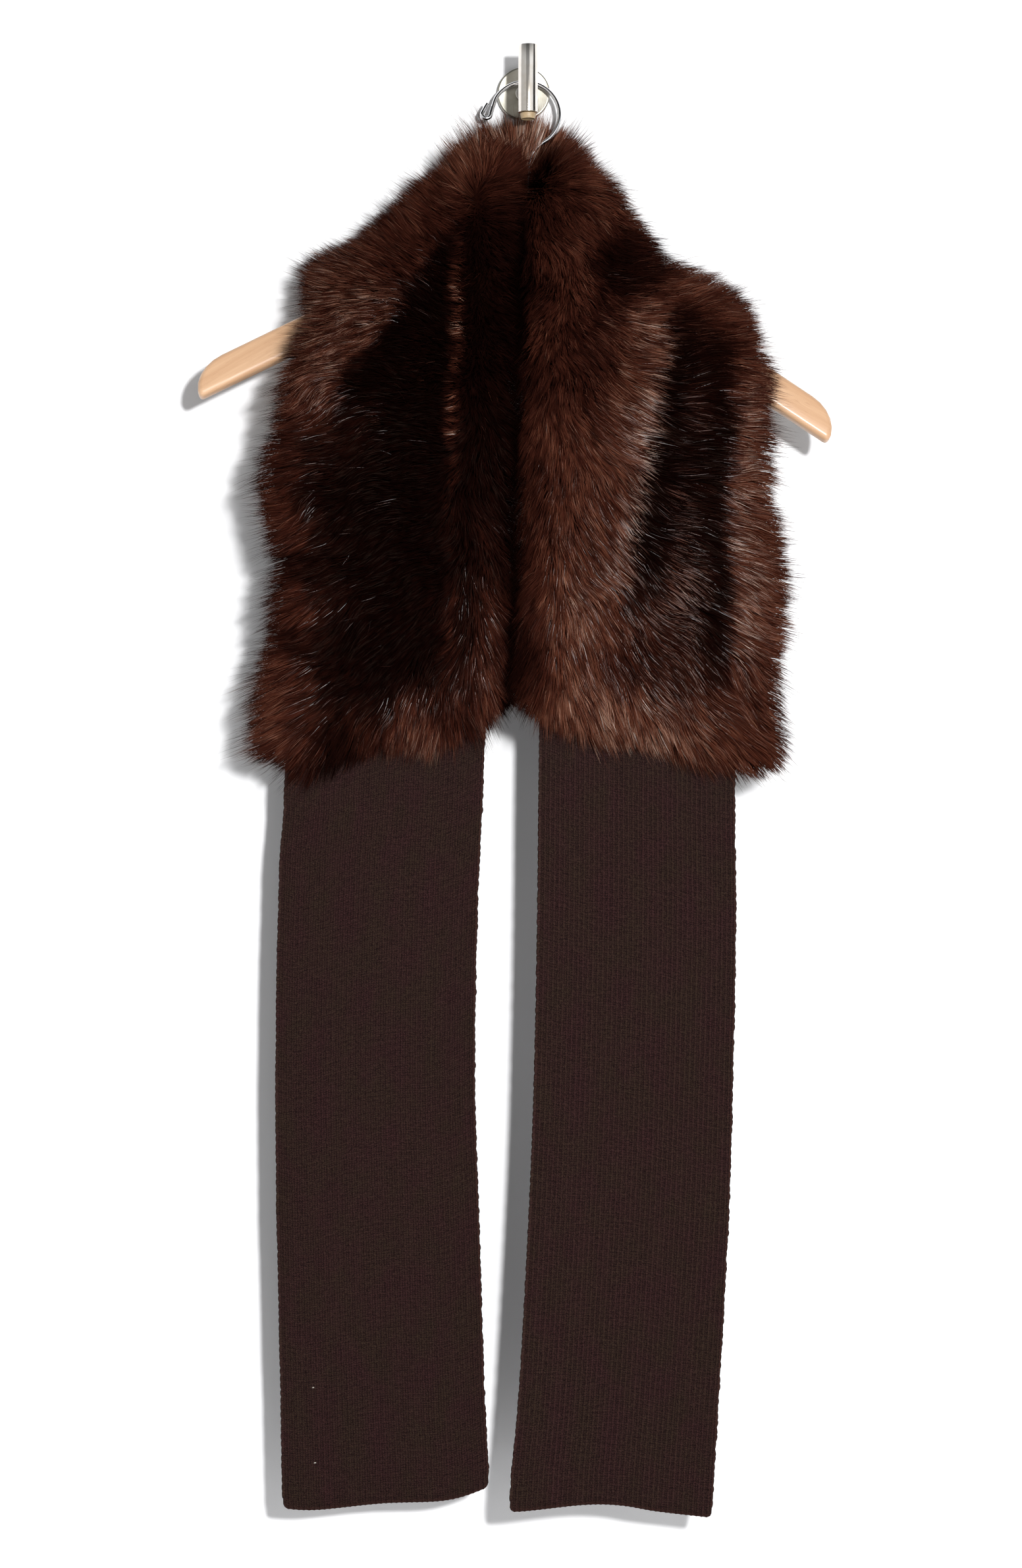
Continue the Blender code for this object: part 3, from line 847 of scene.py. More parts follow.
@dataclass
class WallPeg:
    """A rosette on the wall, a short post with a collar, and an upright bar across its end.

    A rim is the width of a rounded edge. A dish is a sunk end: the width of the border that stays,
    and how deep the middle goes.
    """

    rosette_radius: float = 18.6
    rosette_thickness: float = 6.0
    rosette_rim: float = 1.2
    rosette_dish: tuple[float, float] = (1.8, 0.25)
    seam: float = 0.4
    collar_radius: float = 6.0
    collar_length: float = 1.4
    collar_rim: float = 0.4
    post_radius: float = 4.8
    post_rim: float = 0.2
    bar_depth: float = 52.0
    bar_radius: float = 6.7
    bar_length: float = 46.8
    bar_rim: float = 0.35
    bar_dish: tuple[float, float] = (0.9, 0.5)
    plug_top: float = 5.6
    plug_foot: float = 4.9
    plug_length: float = 4.2
    plug_rim: float = 0.5
    plug_dish: tuple[float, float] = (1.2, 0.6)
    around: int = 96
    smooth_below: float = math.radians(40)

    def rod(self, radius: float, start: float, end: float, upright: bool = False) -> Object:
        """A round rod, out from the wall or upright at the bar's place.

        Args:
            radius: its radius.
            start: its start, from the wall or from the bar's foot.
            end: its end.
            upright: whether it stands at the bar's place.

        Returns:
            The rod.
        """
        middle = (start + end) / 2 * MM
        place = (0, -self.bar_depth * MM, middle) if upright else (0, -middle, 0)
        deselect_all()
        bpy.ops.mesh.primitive_cylinder_add(
            vertices=self.around,
            radius=radius * MM,
            depth=(end - start) * MM,
            location=place,
            rotation=(0, 0, 0) if upright else (math.pi / 2, 0, 0),
        )
        thing = bpy.context.object
        settle(thing)
        return thing

    def round_ends(self, thing: Object, width: float, steps: int = 3) -> None:
        """Rounds the sharp edges of a turned piece.

        Args:
            thing: the piece.
            width: how far the rounding reaches.
            steps: its number of facets.
        """
        rounded = thing.modifiers.new("rounded", "BEVEL")
        rounded.width = width * MM
        rounded.segments = steps
        rounded.limit_method = "ANGLE"
        rounded.angle_limit = self.smooth_below
        apply_modifiers(thing)
        bpy.ops.object.shade_smooth_by_angle(angle=self.smooth_below)

    def sink_end(self, thing: Object, facing: Vector, dish: tuple[float, float]) -> None:
        """Sinks the middle of a flat end.

        Args:
            thing: the piece.
            facing: the end's direction.
            dish: the width of the border that stays, and how deep the middle goes.
        """
        make_active(thing)
        bpy.ops.object.mode_set(mode="EDIT")
        bpy.ops.mesh.select_mode(type="FACE")
        bpy.ops.mesh.select_all(action="DESELECT")
        shape = bmesh.from_edit_mesh(thing.data)
        # The end's cap is the only face there with many corners.
        for face in shape.faces:
            face.select = face.normal.dot(facing) > 0.99 and len(face.verts) > 8
        bmesh.update_edit_mesh(thing.data)
        bpy.ops.mesh.inset(thickness=dish[0] * MM, depth=-dish[1] * MM)
        bpy.ops.object.mode_set(mode="OBJECT")

    def build(self, nickel: Material, brushed: Material, plastic: Material) -> None:
        """Makes the rosette, the post with its bar, and the plug.

        Args:
            nickel: the finish of the bar and the post.
            brushed: the finish of the rosette.
            plastic: the finish of the plug.
        """
        rosette = self.rod(self.rosette_radius, 0.0, self.rosette_thickness)
        self.sink_end(rosette, Vector((0, -1, 0)), self.rosette_dish)
        self.round_ends(rosette, self.rosette_rim, 4)
        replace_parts(dress(rosette, "peg_rosette", brushed), "wall_rosette")

        start = self.rosette_thickness + self.seam
        post = self.rod(self.post_radius, start, self.bar_depth)
        collar = self.rod(self.collar_radius, start, start + self.collar_length)
        self.round_ends(collar, self.collar_rim)
        half = self.bar_length / 2
        bar = self.rod(self.bar_radius, -half, half, upright=True)
        self.sink_end(bar, Vector((0, 0, 1)), self.bar_dish)
        self.round_ends(bar, self.bar_rim)
        self.round_ends(post, self.post_rim)
        deselect_all()
        for part in (collar, bar, post):
            part.select_set(True)
        bpy.context.view_layer.objects.active = post
        bpy.ops.object.join()
        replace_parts(dress(post, "peg_bar", nickel), "wall_peg")

        top = -half - self.seam
        plug = self.rod(self.plug_top, top - self.plug_length, top, upright=True)
        share = self.plug_foot / self.plug_top
        for vertex in plug.data.vertices:
            if vertex.co.z < (top - self.plug_length / 2) * MM:
                vertex.co.x *= share
                vertex.co.y = (vertex.co.y + self.bar_depth * MM) * share - self.bar_depth * MM
        self.sink_end(plug, Vector((0, 0, -1)), self.plug_dish)
        self.round_ends(plug, self.plug_rim)
        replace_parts(dress(plug, "peg_plug", plastic), "bar_plug")


# ---------------------------------------------------------------- the hanger


@dataclass
class WireHook:
    """The hanger's round wire: a hairpin end, a wide bend over the post and a stem.

    Places are x and z. The hanger leans, so its depth follows from the height. The hairpin's angles
    are degrees and the bend's are radians.
    """

    lean_slope: float = 0.22
    lean_depth: float = 13.54
    wire_radius: float = 1.5
    bend_radius: float = 23.9
    bend_centre: tuple[float, float] = (0.5, -17.4)
    bend_start: float = math.radians(152.0)
    bend_end: float = math.radians(-62.0)
    bend_steps: int = 64
    hairpin_radius: float = 3.1
    hairpin_centre: tuple[float, float] = (-27.0, -17.0)
    hairpin_start: float = 165.0
    hairpin_sweep: float = 200.0
    hairpin_steps: int = 16
    hairpin_leg: tuple[float, float] = (-26.2, -9.6)
    stem: tuple[tuple[float, float], ...] = ((2.9, -47.0), (1.9, -61.5), (1.3, -75.6))
    round_sides: int = 5

    @staticmethod
    def arc(centre: tuple[float, float], radius: float,
            angles: list[float]) -> list[tuple[float, float]]:
        """The places on a circle at some angles.

        Args:
            centre: its centre, as x and z.
            radius: its radius.
            angles: the angles, in radians from +X.

        Returns:
            The places, as x and z.
        """
        return [
            (centre[0] + radius * math.cos(angle), centre[1] + radius * math.sin(angle))
            for angle in angles
        ]

    def depth(self, z: np.ndarray | float) -> np.ndarray | float:
        """How far the leaning hanger stands off the wall at a height."""
        return self.lean_depth - self.lean_slope * z

    def route(self) -> list[tuple[float, float]]:
        """The wire's middle line from the hairpin's free end to the wood.

        Returns:
            The line's places, as x and z.
        """
        hairpin = [
            math.radians(self.hairpin_start + self.hairpin_sweep * step / self.hairpin_steps)
            for step in range(self.hairpin_steps + 1)
        ]
        bend = [
            self.bend_start + (self.bend_end - self.bend_start) * step / self.bend_steps
            for step in range(self.bend_steps + 1)
        ]
        return [
            self.hairpin_leg,
            *self.arc(self.hairpin_centre, self.hairpin_radius, hairpin),
            *self.arc(self.bend_centre, self.bend_radius, bend),
            *self.stem,
        ]

    def build(self, chrome: Material) -> None:
        """Makes the wire as a tube along its route.

        Args:
            chrome: its finish.
        """
        deselect_all()
        bpy.ops.curve.primitive_nurbs_path_add(location=(0, 0, 0))
        wire = bpy.context.object
        wire.data.splines.clear()
        route = self.route()
        spline = wire.data.splines.new("NURBS")
        spline.points.add(len(route) - 1)
        for point, (x, z) in zip(spline.points, route):
            point.co = (x * MM, -self.depth(z) * MM, z * MM, 1)
        spline.order_u = 3
        spline.use_endpoint_u = True
        spline.resolution_u = 2
        wire.data.bevel_depth = self.wire_radius * MM
        wire.data.bevel_resolution = self.round_sides
        wire.data.use_fill_caps = True
        make_active(wire)
        bpy.ops.object.convert(target="MESH")
        wire = bpy.context.object
        bpy.ops.object.shade_smooth_by_angle(angle=math.radians(50))
        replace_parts(dress(wire, "hook_wire", chrome), "hanger_hook")


@dataclass
class WoodenHanger:
    """The hanger's flat wooden arms, in the form of their solid."""

    def build(self, solid: Object, beech: Material) -> None:
        """Makes the wood from its solid, with its edges shaded round.

        Args:
            solid: the solid node.
            beech: its finish.
        """
        wood = merged_copy(solid, "hanger_board")
        make_active(wood)
        bpy.ops.object.shade_smooth_by_angle(angle=math.radians(50))
        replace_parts(dress(wood, "hanger_board", beech), "hanger_wood")


# ---------------------------------------------------------------- the knit tails


@dataclass
class KnitTail:
    """A ribbed sheet in the place of its solid, with a chain of edge stitches down each side.

    The margins are how far from the solid's top and foot it is read, and the cut is the whole cloth's
    width and length, both in metres. The back is read at some rows and columns. The tuck is what the
    fur hides of the tail. The edge stitches stand in from the side by the inset, and are uneven in
    their place by the sway and in their size by the share that is named.
    """

    node: str
    name: str
    held_by: str
    seed: int
    columns_per_rib: int = 4
    rows: int = 72
    side_levels: int = 14
    end_places: int = 24
    side_margins: tuple[float, float] = (0.05, 0.03)
    back_margins: tuple[float, float] = (0.012, 0.022)
    end_margin: float = 0.004
    side_margin: float = 0.02
    back_places: tuple[int, int] = (13, 9)
    rib_height: float = 0.8
    sheet_thickness: float = 1.0
    tuck: float = 18.0
    stitch_pitch: float = 5.0
    stitch_radii: tuple[float, float] = (0.85, 1.25)
    stitch_rings: int = 5
    stitch_sides: int = 6
    stitch_inset: float = 0.5
    stitch_sway: float = 0.22
    stitch_uneven: float = 0.25
    corner_radius: float = 4.0
    cut: tuple[float, float] = (0.143, 0.550)

    def build(self, solid: Object, knit: Material) -> None:
        """Makes the tail.

        Args:
            solid: the solid node that gives the sides, the foot and the depth.
            knit: its finish.
        """
        columns = RIBS * self.columns_per_rib
        across = np.linspace(0, 1, columns + 1)
        down = np.linspace(0, 1, self.rows + 1)
        points = self.form_over(NodeForm(solid), across, down)

        width = columns + 1
        start = (np.arange(self.rows)[:, None] * width + np.arange(columns)).ravel()
        faces = np.stack([start, start + width, start + width + 1, start + 1], 1)
        places = np.stack(np.broadcast_arrays(across, down[:, None]), -1).reshape(-1, 2)
        mesh = charted_mesh(self.name, points.reshape(-1, 3), faces.tolist(), places)
        tail = new_mesh_object(self.name, mesh)
        thicken(tail, self.sheet_thickness)
        edges = [self.selvedge(points[:, side], side) for side in (0, -1)]
        make_active(tail)
        for edge in edges:
            edge.select_set(True)
        bpy.ops.object.join()
        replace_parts(dress(tail, self.name, knit), self.node)

    def form_over(self, form: NodeForm, across: np.ndarray, down: np.ndarray) -> np.ndarray:
        """Lays the ribbed sheet over the solid's plain back.

        Args:
            form: the solid.
            across: each column's share of the width.
            down: each row's share of the length.

        Returns:
            The sheet's points in metres, by row and column.
        """
        start, stop = form.high[2] - self.side_margins[0], form.low[2] + self.side_margins[1]
        levels = np.linspace(start, stop, self.side_levels)
        sides = np.array([form.span(level, 2, 0) for level in levels])

        shares = np.linspace(0, 1, self.end_places)
        ends = []
        for level, which in ((0, 1), (-1, 0)):
            reach = sides[level] + (self.end_margin, -self.end_margin)
            reached = [form.span(x, 0, 2)[which] for x in np.linspace(*reach, self.end_places)]
            ends.append(np.interp(across, shares, reached))
        top, foot = ends[0] + self.tuck * MM, ends[1] + self.hem(across)

        z = top + down[:, None] * (foot - top)
        left, right = (self.side_at(z, levels, sides, which) for which in (0, 1))
        x = left + across * (right - left)
        ribs = 0.5 - 0.5 * np.cos(math.tau * RIBS * across)
        y = self.depths(form, across, down, left, right, z) - (0.5 + self.rib_height * ribs) * MM
        return np.stack([x, y, z], -1)

    @staticmethod
    def side_at(z: np.ndarray, levels: np.ndarray, sides: np.ndarray, which: int) -> np.ndarray:
        """One side of the solid at some heights, carried on straight past where it was read.

        Args:
            z: the heights.
            levels: the heights where the sides were read, from the top down.
            sides: the left and the right side at each level.
            which: 0 for the left side and 1 for the right one.

        Returns:
            The side's x at each height.
        """
        foot = np.polyfit(levels[-4:], sides[-4:], 1)[:, which]
        head = np.polyfit(levels[:4], sides[:4], 1)[:, which]
        inside = np.interp(z, levels[::-1], sides[::-1, which])
        below = foot[0] * z + foot[1]
        above = head[0] * z + head[1]
        return np.where(z < levels[-1], below, np.where(z > levels[0], above, inside))

    def hem(self, across: np.ndarray) -> np.ndarray:
        """How far the foot is drawn up by its round corners and its stitches.

        Args:
            across: each column's share of the width.

        Returns:
            The rise of each column's foot, in metres.
        """
        inward = np.minimum(across, 1 - across) * self.cut[0] / MM
        short = np.maximum(self.corner_radius - inward, 0)
        corner = self.corner_radius - np.sqrt(self.corner_radius ** 2 - short ** 2)
        stitches = 0.5 * np.abs(np.sin(math.pi * RIBS * across))
        return (0.8 * corner + stitches) * MM

    def selvedge(self, border: np.ndarray, side: int) -> Object:
        """The chain of edge stitches down one side, as a tube that swells at each stitch.

        Args:
            border: the sheet's border from the top down, in metres.
            side: 0 for the left border and -1 for the right one.

        Returns:
            The chain.
        """
        around = self.stitch_sides
        length = float(border[0, 2] - border[-1, 2]) - self.corner_radius * MM
        stitches = int(length / (self.stitch_pitch * MM))
        rings = stitches * self.stitch_rings + 1
        share = np.linspace(0, 1, rings)
        height = border[0, 2] - share * length
        x, y = (np.interp(height, border[::-1, 2], border[::-1, axis]) for axis in (0, 1))
        middle = np.stack([x, y + 0.5 * self.sheet_thickness * MM, height], 1)
        uneven = wander(middle * (0, 0, 1), 0.008, self.seed - side)
        swell = np.abs(np.sin(math.pi * stitches * share)) ** 0.7
        swell = swell * (1 + self.stitch_uneven * uneven)
        radius = self.stitch_radii[0] + (self.stitch_radii[1] - self.stitch_radii[0]) * swell
        inset = self.stitch_inset if side == 0 else -self.stitch_inset
        middle[:, 0] += (self.stitch_sway * uneven + inset) * MM
        angle = np.arange(around) * math.tau / around
        ring = np.stack([np.cos(angle), np.sin(angle), np.zeros(around)], 1)
        points = (middle[:, None] + radius[:, None, None] * MM * ring).reshape(-1, 3)
        faces = [tuple(range(around)), tuple(range((rings - 1) * around, rings * around))[::-1]]
        for k in range(rings - 1):
            for j in range(around):
                here, there = k * around + j, k * around + (j + 1) % around
                faces.append((here, here + around, there + around, there))
        # In the map the chain is a narrow strip at the side, and ends short of the hem.
        strip = np.tile(np.arange(around) / around * 0.01, rings) + (0 if side == 0 else 0.99)
        places = np.stack([strip, np.repeat(share * 0.985, around)], 1)
        name = self.name + "_edge"
        return new_mesh_object(name, charted_mesh(name, points, faces, places))

    def depths(self, form: NodeForm, across: np.ndarray, down: np.ndarray,
               left: np.ndarray, right: np.ndarray, z: np.ndarray) -> np.ndarray:
        """The depth of the solid's plain back, read on a coarse grid and spread to every point.

        Args:
            form: the solid.
            across: each column's share of the width.
            down: each row's share of the length.
            left: the left side at each point.
            right: the right side at each point.
            z: each point's height.

        Returns:
            Each point's depth.
        """
        coarse_rows = np.linspace(0, self.rows, self.back_places[0]).astype(int)
        coarse_columns = np.linspace(0, len(across) - 1, self.back_places[1]).astype(int)
        read = np.zeros((len(coarse_rows), len(coarse_columns)))
        highest, lowest = form.high[2] - self.back_margins[0], form.low[2] + self.back_margins[1]
        for i, row in enumerate(coarse_rows):
            for j, column in enumerate(coarse_columns):
                share = min(max(across[column], self.side_margin), 1 - self.side_margin)
                x = left[row, column] + share * (right[row, column] - left[row, column])
                height = min(max(z[row, column], lowest), highest)
                read[i, j] = form.back(x, height)
        rows = np.array([np.interp(across, across[coarse_columns], line) for line in read])
        return np.stack([np.interp(down, down[coarse_rows], column) for column in rows.T], 1)


# ---------------------------------------------------------------- the fur


@dataclass(frozen=True)
class Lie:
    """How the hair lies over a stretch, as rows read by their distance from a place.

    A row holds x and z in millimetres, the way in which the hair points in degrees, with 0 to the
    right and 90 up, its lift off the backing in degrees, its tone from 0, black, to 1, cream, and
    the share of silvery guard hairs. A plume is a spot of longer or shorter hair: its x and z, its
    reach in millimetres and the length there, with 1 as usual. A row's say fades with the reach, and
    more slowly with the fade. The waver moves the rows' borders to and fro, at a pitch in metres.
    """

    rows: tuple[tuple[float, float, float, float, float, float], ...]
    plumes: tuple[tuple[float, float, float, float], ...] = ()
    reach: float = 27.0
    fade: float = 30.0
    waver: float = 4.5
    waver_pitch: float = 0.028

    def read(self, points: np.ndarray) -> tuple[np.ndarray, np.ndarray, np.ndarray, np.ndarray]:
        """Reads the rows at some places.

        Args:
            points: the places, in metres.

        Returns:
            The way as a vector in the X-Z plane, the lift in radians, the tone and the silver.
        """
        table = np.array(self.rows, float)
        drift = np.stack([wander(points, self.waver_pitch, seed) for seed in (81, 82)], 1)
        flat = flattened(points) + self.waver * drift
        far = ((flat[:, None, :] - table[None, :, :2]) ** 2).sum(-1)
        nearest = far.min(1, keepdims=True)
        weight = np.exp((nearest - far) / self.reach ** 2) / (1 + far / self.fade ** 2)
        weight /= weight.sum(1, keepdims=True)
        angle = np.radians(table[:, 2])
        way = np.stack([weight @ np.cos(angle), np.zeros(len(flat)), weight @ np.sin(angle)], 1)
        lift = np.radians(weight @ table[:, 3])
        return unit(way), lift, weight @ table[:, 4], weight @ table[:, 5]

    def length(self, points: np.ndarray) -> np.ndarray:
        """How long the hair is at some places, with 1 as usual.

        Args:
            points: the places, in metres.

        Returns:
            The length at each place.
        """
        flat = flattened(points)
        total = np.ones(len(points))
        for x, z, reach, long in self.plumes:
            total *= 1 + (long - 1) * spot(flat, x, z, reach)
        return total


@dataclass(frozen=True)
class Parting:
    """A line where two strips of fur meet, and where pale roots may show.

    Its rows hold x and z in millimetres, the strength there and how much of the pale roots shows.
    The roots have the tone of the line, over its half width. The coat has a tone of its own on each
    side, as far as the spread. Silvery hairs begin on the right of the line, or on its left where
    their share is below nought. They are most at the shine's place from the line and fade with its
    reach, and where the coat is darker than a tone there are none of the usual ones. The hair turns
    towards its two ways, left and right of the line, in degrees, as far as the fall's reach. The
    line sways, and the border between the two tones is ragged and soft.
    """

    rows: tuple[tuple[float, float, float, float], ...]
    sides: tuple[float, float]
    spread: float
    half_width: float = 3.0
    tone: float = 0.0
    silver: float = 0.0
    ways: tuple[float, float] = (180.0, 0.0)
    turn: float = 0.0
    sway: Drift = Drift(1.4, 0.03)
    ragged: Drift = Drift(2.5, 0.012)
    softness: float = 1.6
    shine_at: float = 5.0
    shine_reach: float = 11.0
    dark_below: float = 0.3
    fall_reach: float = 16.0

    def read(self, points: np.ndarray, column: int = 2) -> tuple[np.ndarray, np.ndarray]:
        """How strong the parting is at some places, and on which side of it they lie.

        Args:
            points: the places, in metres.
            column: the rows' column to read.

        Returns:
            The number from 0 to 1, and the offset to the right of the line in millimetres.
        """
        table = np.array(self.rows, float)
        height = points[:, 2] / MM
        order = np.argsort(table[:, 1])
        line = np.interp(height, table[order, 1], table[order, 0])
        strength = np.interp(height, table[order, 1], table[order, column], left=0, right=0)
        # It shows in front, from 30 mm off the wall, and in full from 45 mm.
        strength = strength * np.clip(-points[:, 1] / MM / 15.0 - 2.0, 0, 1)
        sway = self.sway.over(points * (0, 0, 1), 71)
        return strength, points[:, 0] / MM - line - sway

    def pale(self, points: np.ndarray) -> np.ndarray:
        """The share of the pale tone at some places.

        Args:
            points: the places, in metres.

        Returns:
            The share, from 0 to 1.
        """
        strength, offset = self.read(points, 3)
        return strength * np.exp(-(offset / self.half_width) ** 2)

    def dye(self, points: np.ndarray, tone: np.ndarray, silver: np.ndarray) -> tuple:
        """Sets the coat's tone on the two sides of the line.

        Args:
            points: the places, in metres.
            tone: the tone there.
            silver: the share of silvery hairs there.

        Returns:
            The new tone and share.
        """
        strength, offset = self.read(points)
        right = 1 / (1 + np.exp(-(offset + self.ragged.over(points, 72)) / self.softness))
        own = self.sides[0] + right * (self.sides[1] - self.sides[0])
        share = np.minimum(strength * 1.2, 1) * np.exp(-(offset / self.spread) ** 4)
        lit = right if self.silver > 0 else 1 - right
        near = np.exp(-((np.abs(offset) - self.shine_at) / self.shine_reach) ** 2)
        shine = abs(self.silver) * strength * lit * near
        kept = silver * (1 - share * np.clip(1 - own / self.dark_below, 0, 1))
        return tone + share * (own - tone), np.maximum(kept, shine)

    def comb(self, points: np.ndarray, way: np.ndarray) -> np.ndarray:
        """Turns the hair to the two sides of the line.

        Args:
            points: the places, in metres.
            way: the way in which the hair points there.

        Returns:
            The turned ways.
        """
        strength, offset = self.read(points)
        share = (self.turn * strength * np.exp(-(offset / self.fall_reach) ** 2))[:, None]
        angle = np.radians(np.where(offset < 0, self.ways[0], self.ways[1]))
        fallen = np.stack([np.cos(angle), np.zeros(len(angle)), np.sin(angle)], 1)
        return unit(way * (1 - share) + fallen * share)


@dataclass(frozen=True)
class Hair:
    """One kind of hair: its length and width in millimetres, and how it stands.

    Gathered is how far the hairs of a lock are drawn together. Stray, roll and curl are the usual
    spread of its way, its turn about itself and its bend, in degrees. Outward is how much shorter
    it is where it points straight out of the backing. The tones are how much its tone differs from
    hair to hair, from lock to lock and from streak to streak.
    """

    label: str
    length: float
    width: float
    segments: int
    per_lock: int
    gathered: float
    stray: float
    roll: float
    curl: float
    outward: float
    hair_tone: float
    lock_tone: float
    streak_tone: float
    silver: bool = False


UNDERFUR = Hair(
    "pile", length=21.0, width=0.52, segments=2, per_lock=16, gathered=0.40, stray=3.5, roll=22.0,
    curl=4.0, outward=0.42, hair_tone=0.030, lock_tone=0.06, streak_tone=0.15,
)
GUARD = Hair(
    "guard", length=27.0, width=0.24, segments=3, per_lock=10, gathered=0.26, stray=4.5, roll=30.0,
    curl=4.0, outward=0.22, hair_tone=0.045, lock_tone=0.10, streak_tone=0.19,
)
SILVER = Hair(
    "silver", length=22.0, width=0.26, segments=2, per_lock=6, gathered=0.36, stray=4.0, roll=34.0,
    curl=2.0, outward=0.30, hair_tone=0.040, lock_tone=0.05, streak_tone=0.05, silver=True,
)


@dataclass
class Strands:
    """The middle lines of many hairs and what the material needs to know of each.

    Normals are the backing's, and each hair has a tone at its root and one at its tip, which it has
    reached at the full tone's share of its length. A hair loses the taper's share of its width. The
    soft shares are how much the backing's direction, the ribbon's own and the hair's way count in
    its shading.
    """

    lines: np.ndarray
    sides: np.ndarray
    normals: np.ndarray
    rolls: np.ndarray
    widths: np.ndarray
    tones: np.ndarray
    taper: float = 0.72
    full_tone: float = 0.7
    soft_shares: tuple[float, float, float] = (0.72, 0.42, 0.18)

    def keep(self, wanted: np.ndarray) -> Strands:
        """The hairs that a mask names."""
        parts = (self.lines, self.sides, self.normals, self.rolls, self.widths, self.tones)
        return Strands(*(part[wanted] for part in parts))

    def mesh(self, name: str) -> Mesh:
        """Turns the lines into one mesh of tapering ribbons, shaded softly as a coat is.

        Args:
            name: the mesh's name.

        Returns:
            The mesh, with each hair's tone and run in its UV map.
        """
        count, points = self.lines.shape[:2]
        last = points - 1
        tangent = unit(np.gradient(self.lines, axis=1))
        side = unit(np.broadcast_to(self.sides[:, None], self.lines.shape))
        turn = self.rolls[:, None, None]
        side = np.cos(turn) * side + np.sin(turn) * np.cross(tangent, side)
        run = np.linspace(0, 1, points)
        half = 0.5 * self.widths[:, None, None] * (1 - self.taper * run[None, :, None] ** 1.5)
        rows = self.paired(self.lines + side * half, self.lines - side * half, self.lines)

        quads = [(2 * k, 2 * k + 1, 2 * k + 3, 2 * k + 2) for k in range(last - 1)]
        pattern = np.array([*sum(quads, ()), 2 * last - 2, 2 * last - 1, 2 * last])
        sizes = np.array([4] * len(quads) + [3])
        first = np.arange(count)[:, None] * (2 * last + 1)
        corners = (first + pattern).ravel()
        totals = np.tile(sizes, count)
        starts = np.concatenate([[0], np.cumsum(totals)[:-1]])

        mesh = bpy.data.meshes.new(name)
        mesh.vertices.add(rows.shape[0] * rows.shape[1])
        mesh.vertices.foreach_set("co", rows.astype(np.float32).ravel())
        mesh.loops.add(len(corners))
        mesh.loops.foreach_set("vertex_index", corners.astype(np.int32))
        mesh.polygons.add(len(totals))
        mesh.polygons.foreach_set("loop_start", starts.astype(np.int32))
        mesh.update(calc_edges=True)

        # The two borders differ by a little in tone, so that no face of the map is without width.
        half_tone = 0.006
        root, tip = self.tones[:, :1], self.tones[:, 1:]
        tone = root + (tip - root) * np.minimum(run / self.full_tone, 1)
        tone = np.clip(tone, 2 * half_tone, 1 - 2 * half_tone)[..., None]
        chart = np.zeros((count, 2 * last + 1, 2))
        chart[..., :1] = self.paired(tone + half_tone, tone - half_tone, tone)
        up = np.broadcast_to(run[None, :, None], tone.shape)
        chart[..., 1:] = 0.01 + 0.98 * self.paired(up, up, up)
        layer = mesh.uv_layers.new(name=STRAND_MAP)
        layer.uv.foreach_set("vector", chart.reshape(-1, 2)[corners].astype(np.float32).ravel())
        mesh.shade_smooth()

        own = unit(np.cross(tangent, side))
        backing, ribbon, way = self.soft_shares
        soft = unit(backing * self.normals[:, None] + ribbon * own + way * tangent)
        shading = self.paired(soft, soft, soft).reshape(-1, 3)
        mesh.normals_split_custom_set_from_vertices(shading.tolist())
        return mesh

    @staticmethod
    def paired(first: np.ndarray, second: np.ndarray, tip: np.ndarray) -> np.ndarray:
        """Puts what belongs to a ribbon's vertices in their order.

        Args:
            first: what the vertices on the first border have, by hair and place along it.
            second: the same for the second border.
            tip: the same for the middle line, of which the last place is used.

        Returns:
            The rows by hair and vertex: two for each place, and one for the tip.
        """
        last = first.shape[1] - 1
        rows = np.zeros((len(first), 2 * last + 1, first.shape[2]))
        rows[:, 0:2 * last:2] = first[:, :last]
        rows[:, 1:2 * last:2] = second[:, :last]
        rows[:, -1] = tip[:, -1]
        return rows


@dataclass(frozen=True)
class Growth:
    """How the hair grows all over the tube, apart from what a kind of hair has of its own.

    The swirl and the ripple turn it, the rise lifts it, the bend curls it and the spurt makes it
    longer and shorter. The cloud and the patch change its tone, and the spots its pale roots. A
    streak has a strength, a pitch and a reach in metres. The hair rises by the root's lift more at
    its root, up to the most lift, and keeps the tip's share of its own lift at its tip. Upright
    hair is shorter by the cut. The pairs are the least and the most of a hair's length and width,
    of a lock's pull and of the pale at its root, with 1 as usual.
    """

    swirl: Drift = Drift(0.18, 0.040)
    ripple: Drift = Drift(0.09, 0.013)
    rise: Drift = Drift(0.10, 0.02)
    spurt: Drift = Drift(0.14, 0.026)
    bend: Drift = Drift(math.radians(14.0), 0.03)
    cloud: Drift = Drift(0.040, 0.03)
    patch: Drift = Drift(0.035, 0.009)
    spots: Drift = Drift(0.3, 0.012)
    streaks: tuple[tuple[float, float, float], ...] = ((0.6, 0.0042, 0.014), (0.5, 0.010, 0.020))
    stray_lift: float = math.radians(6.0)
    root_lift: float = math.radians(32.0)
    most_lift: float = math.radians(86.0)
    tip_share: float = 0.45
    upright_cut: float = 0.30
    lengths: tuple[float, float] = (0.72, 1.12)
    widths: tuple[float, float] = (0.7, 1.25)
    pulls: tuple[float, float] = (0.4, 1.3)
    most_pull: float = 0.92
    pales: tuple[float, float] = (0.3, 1.1)


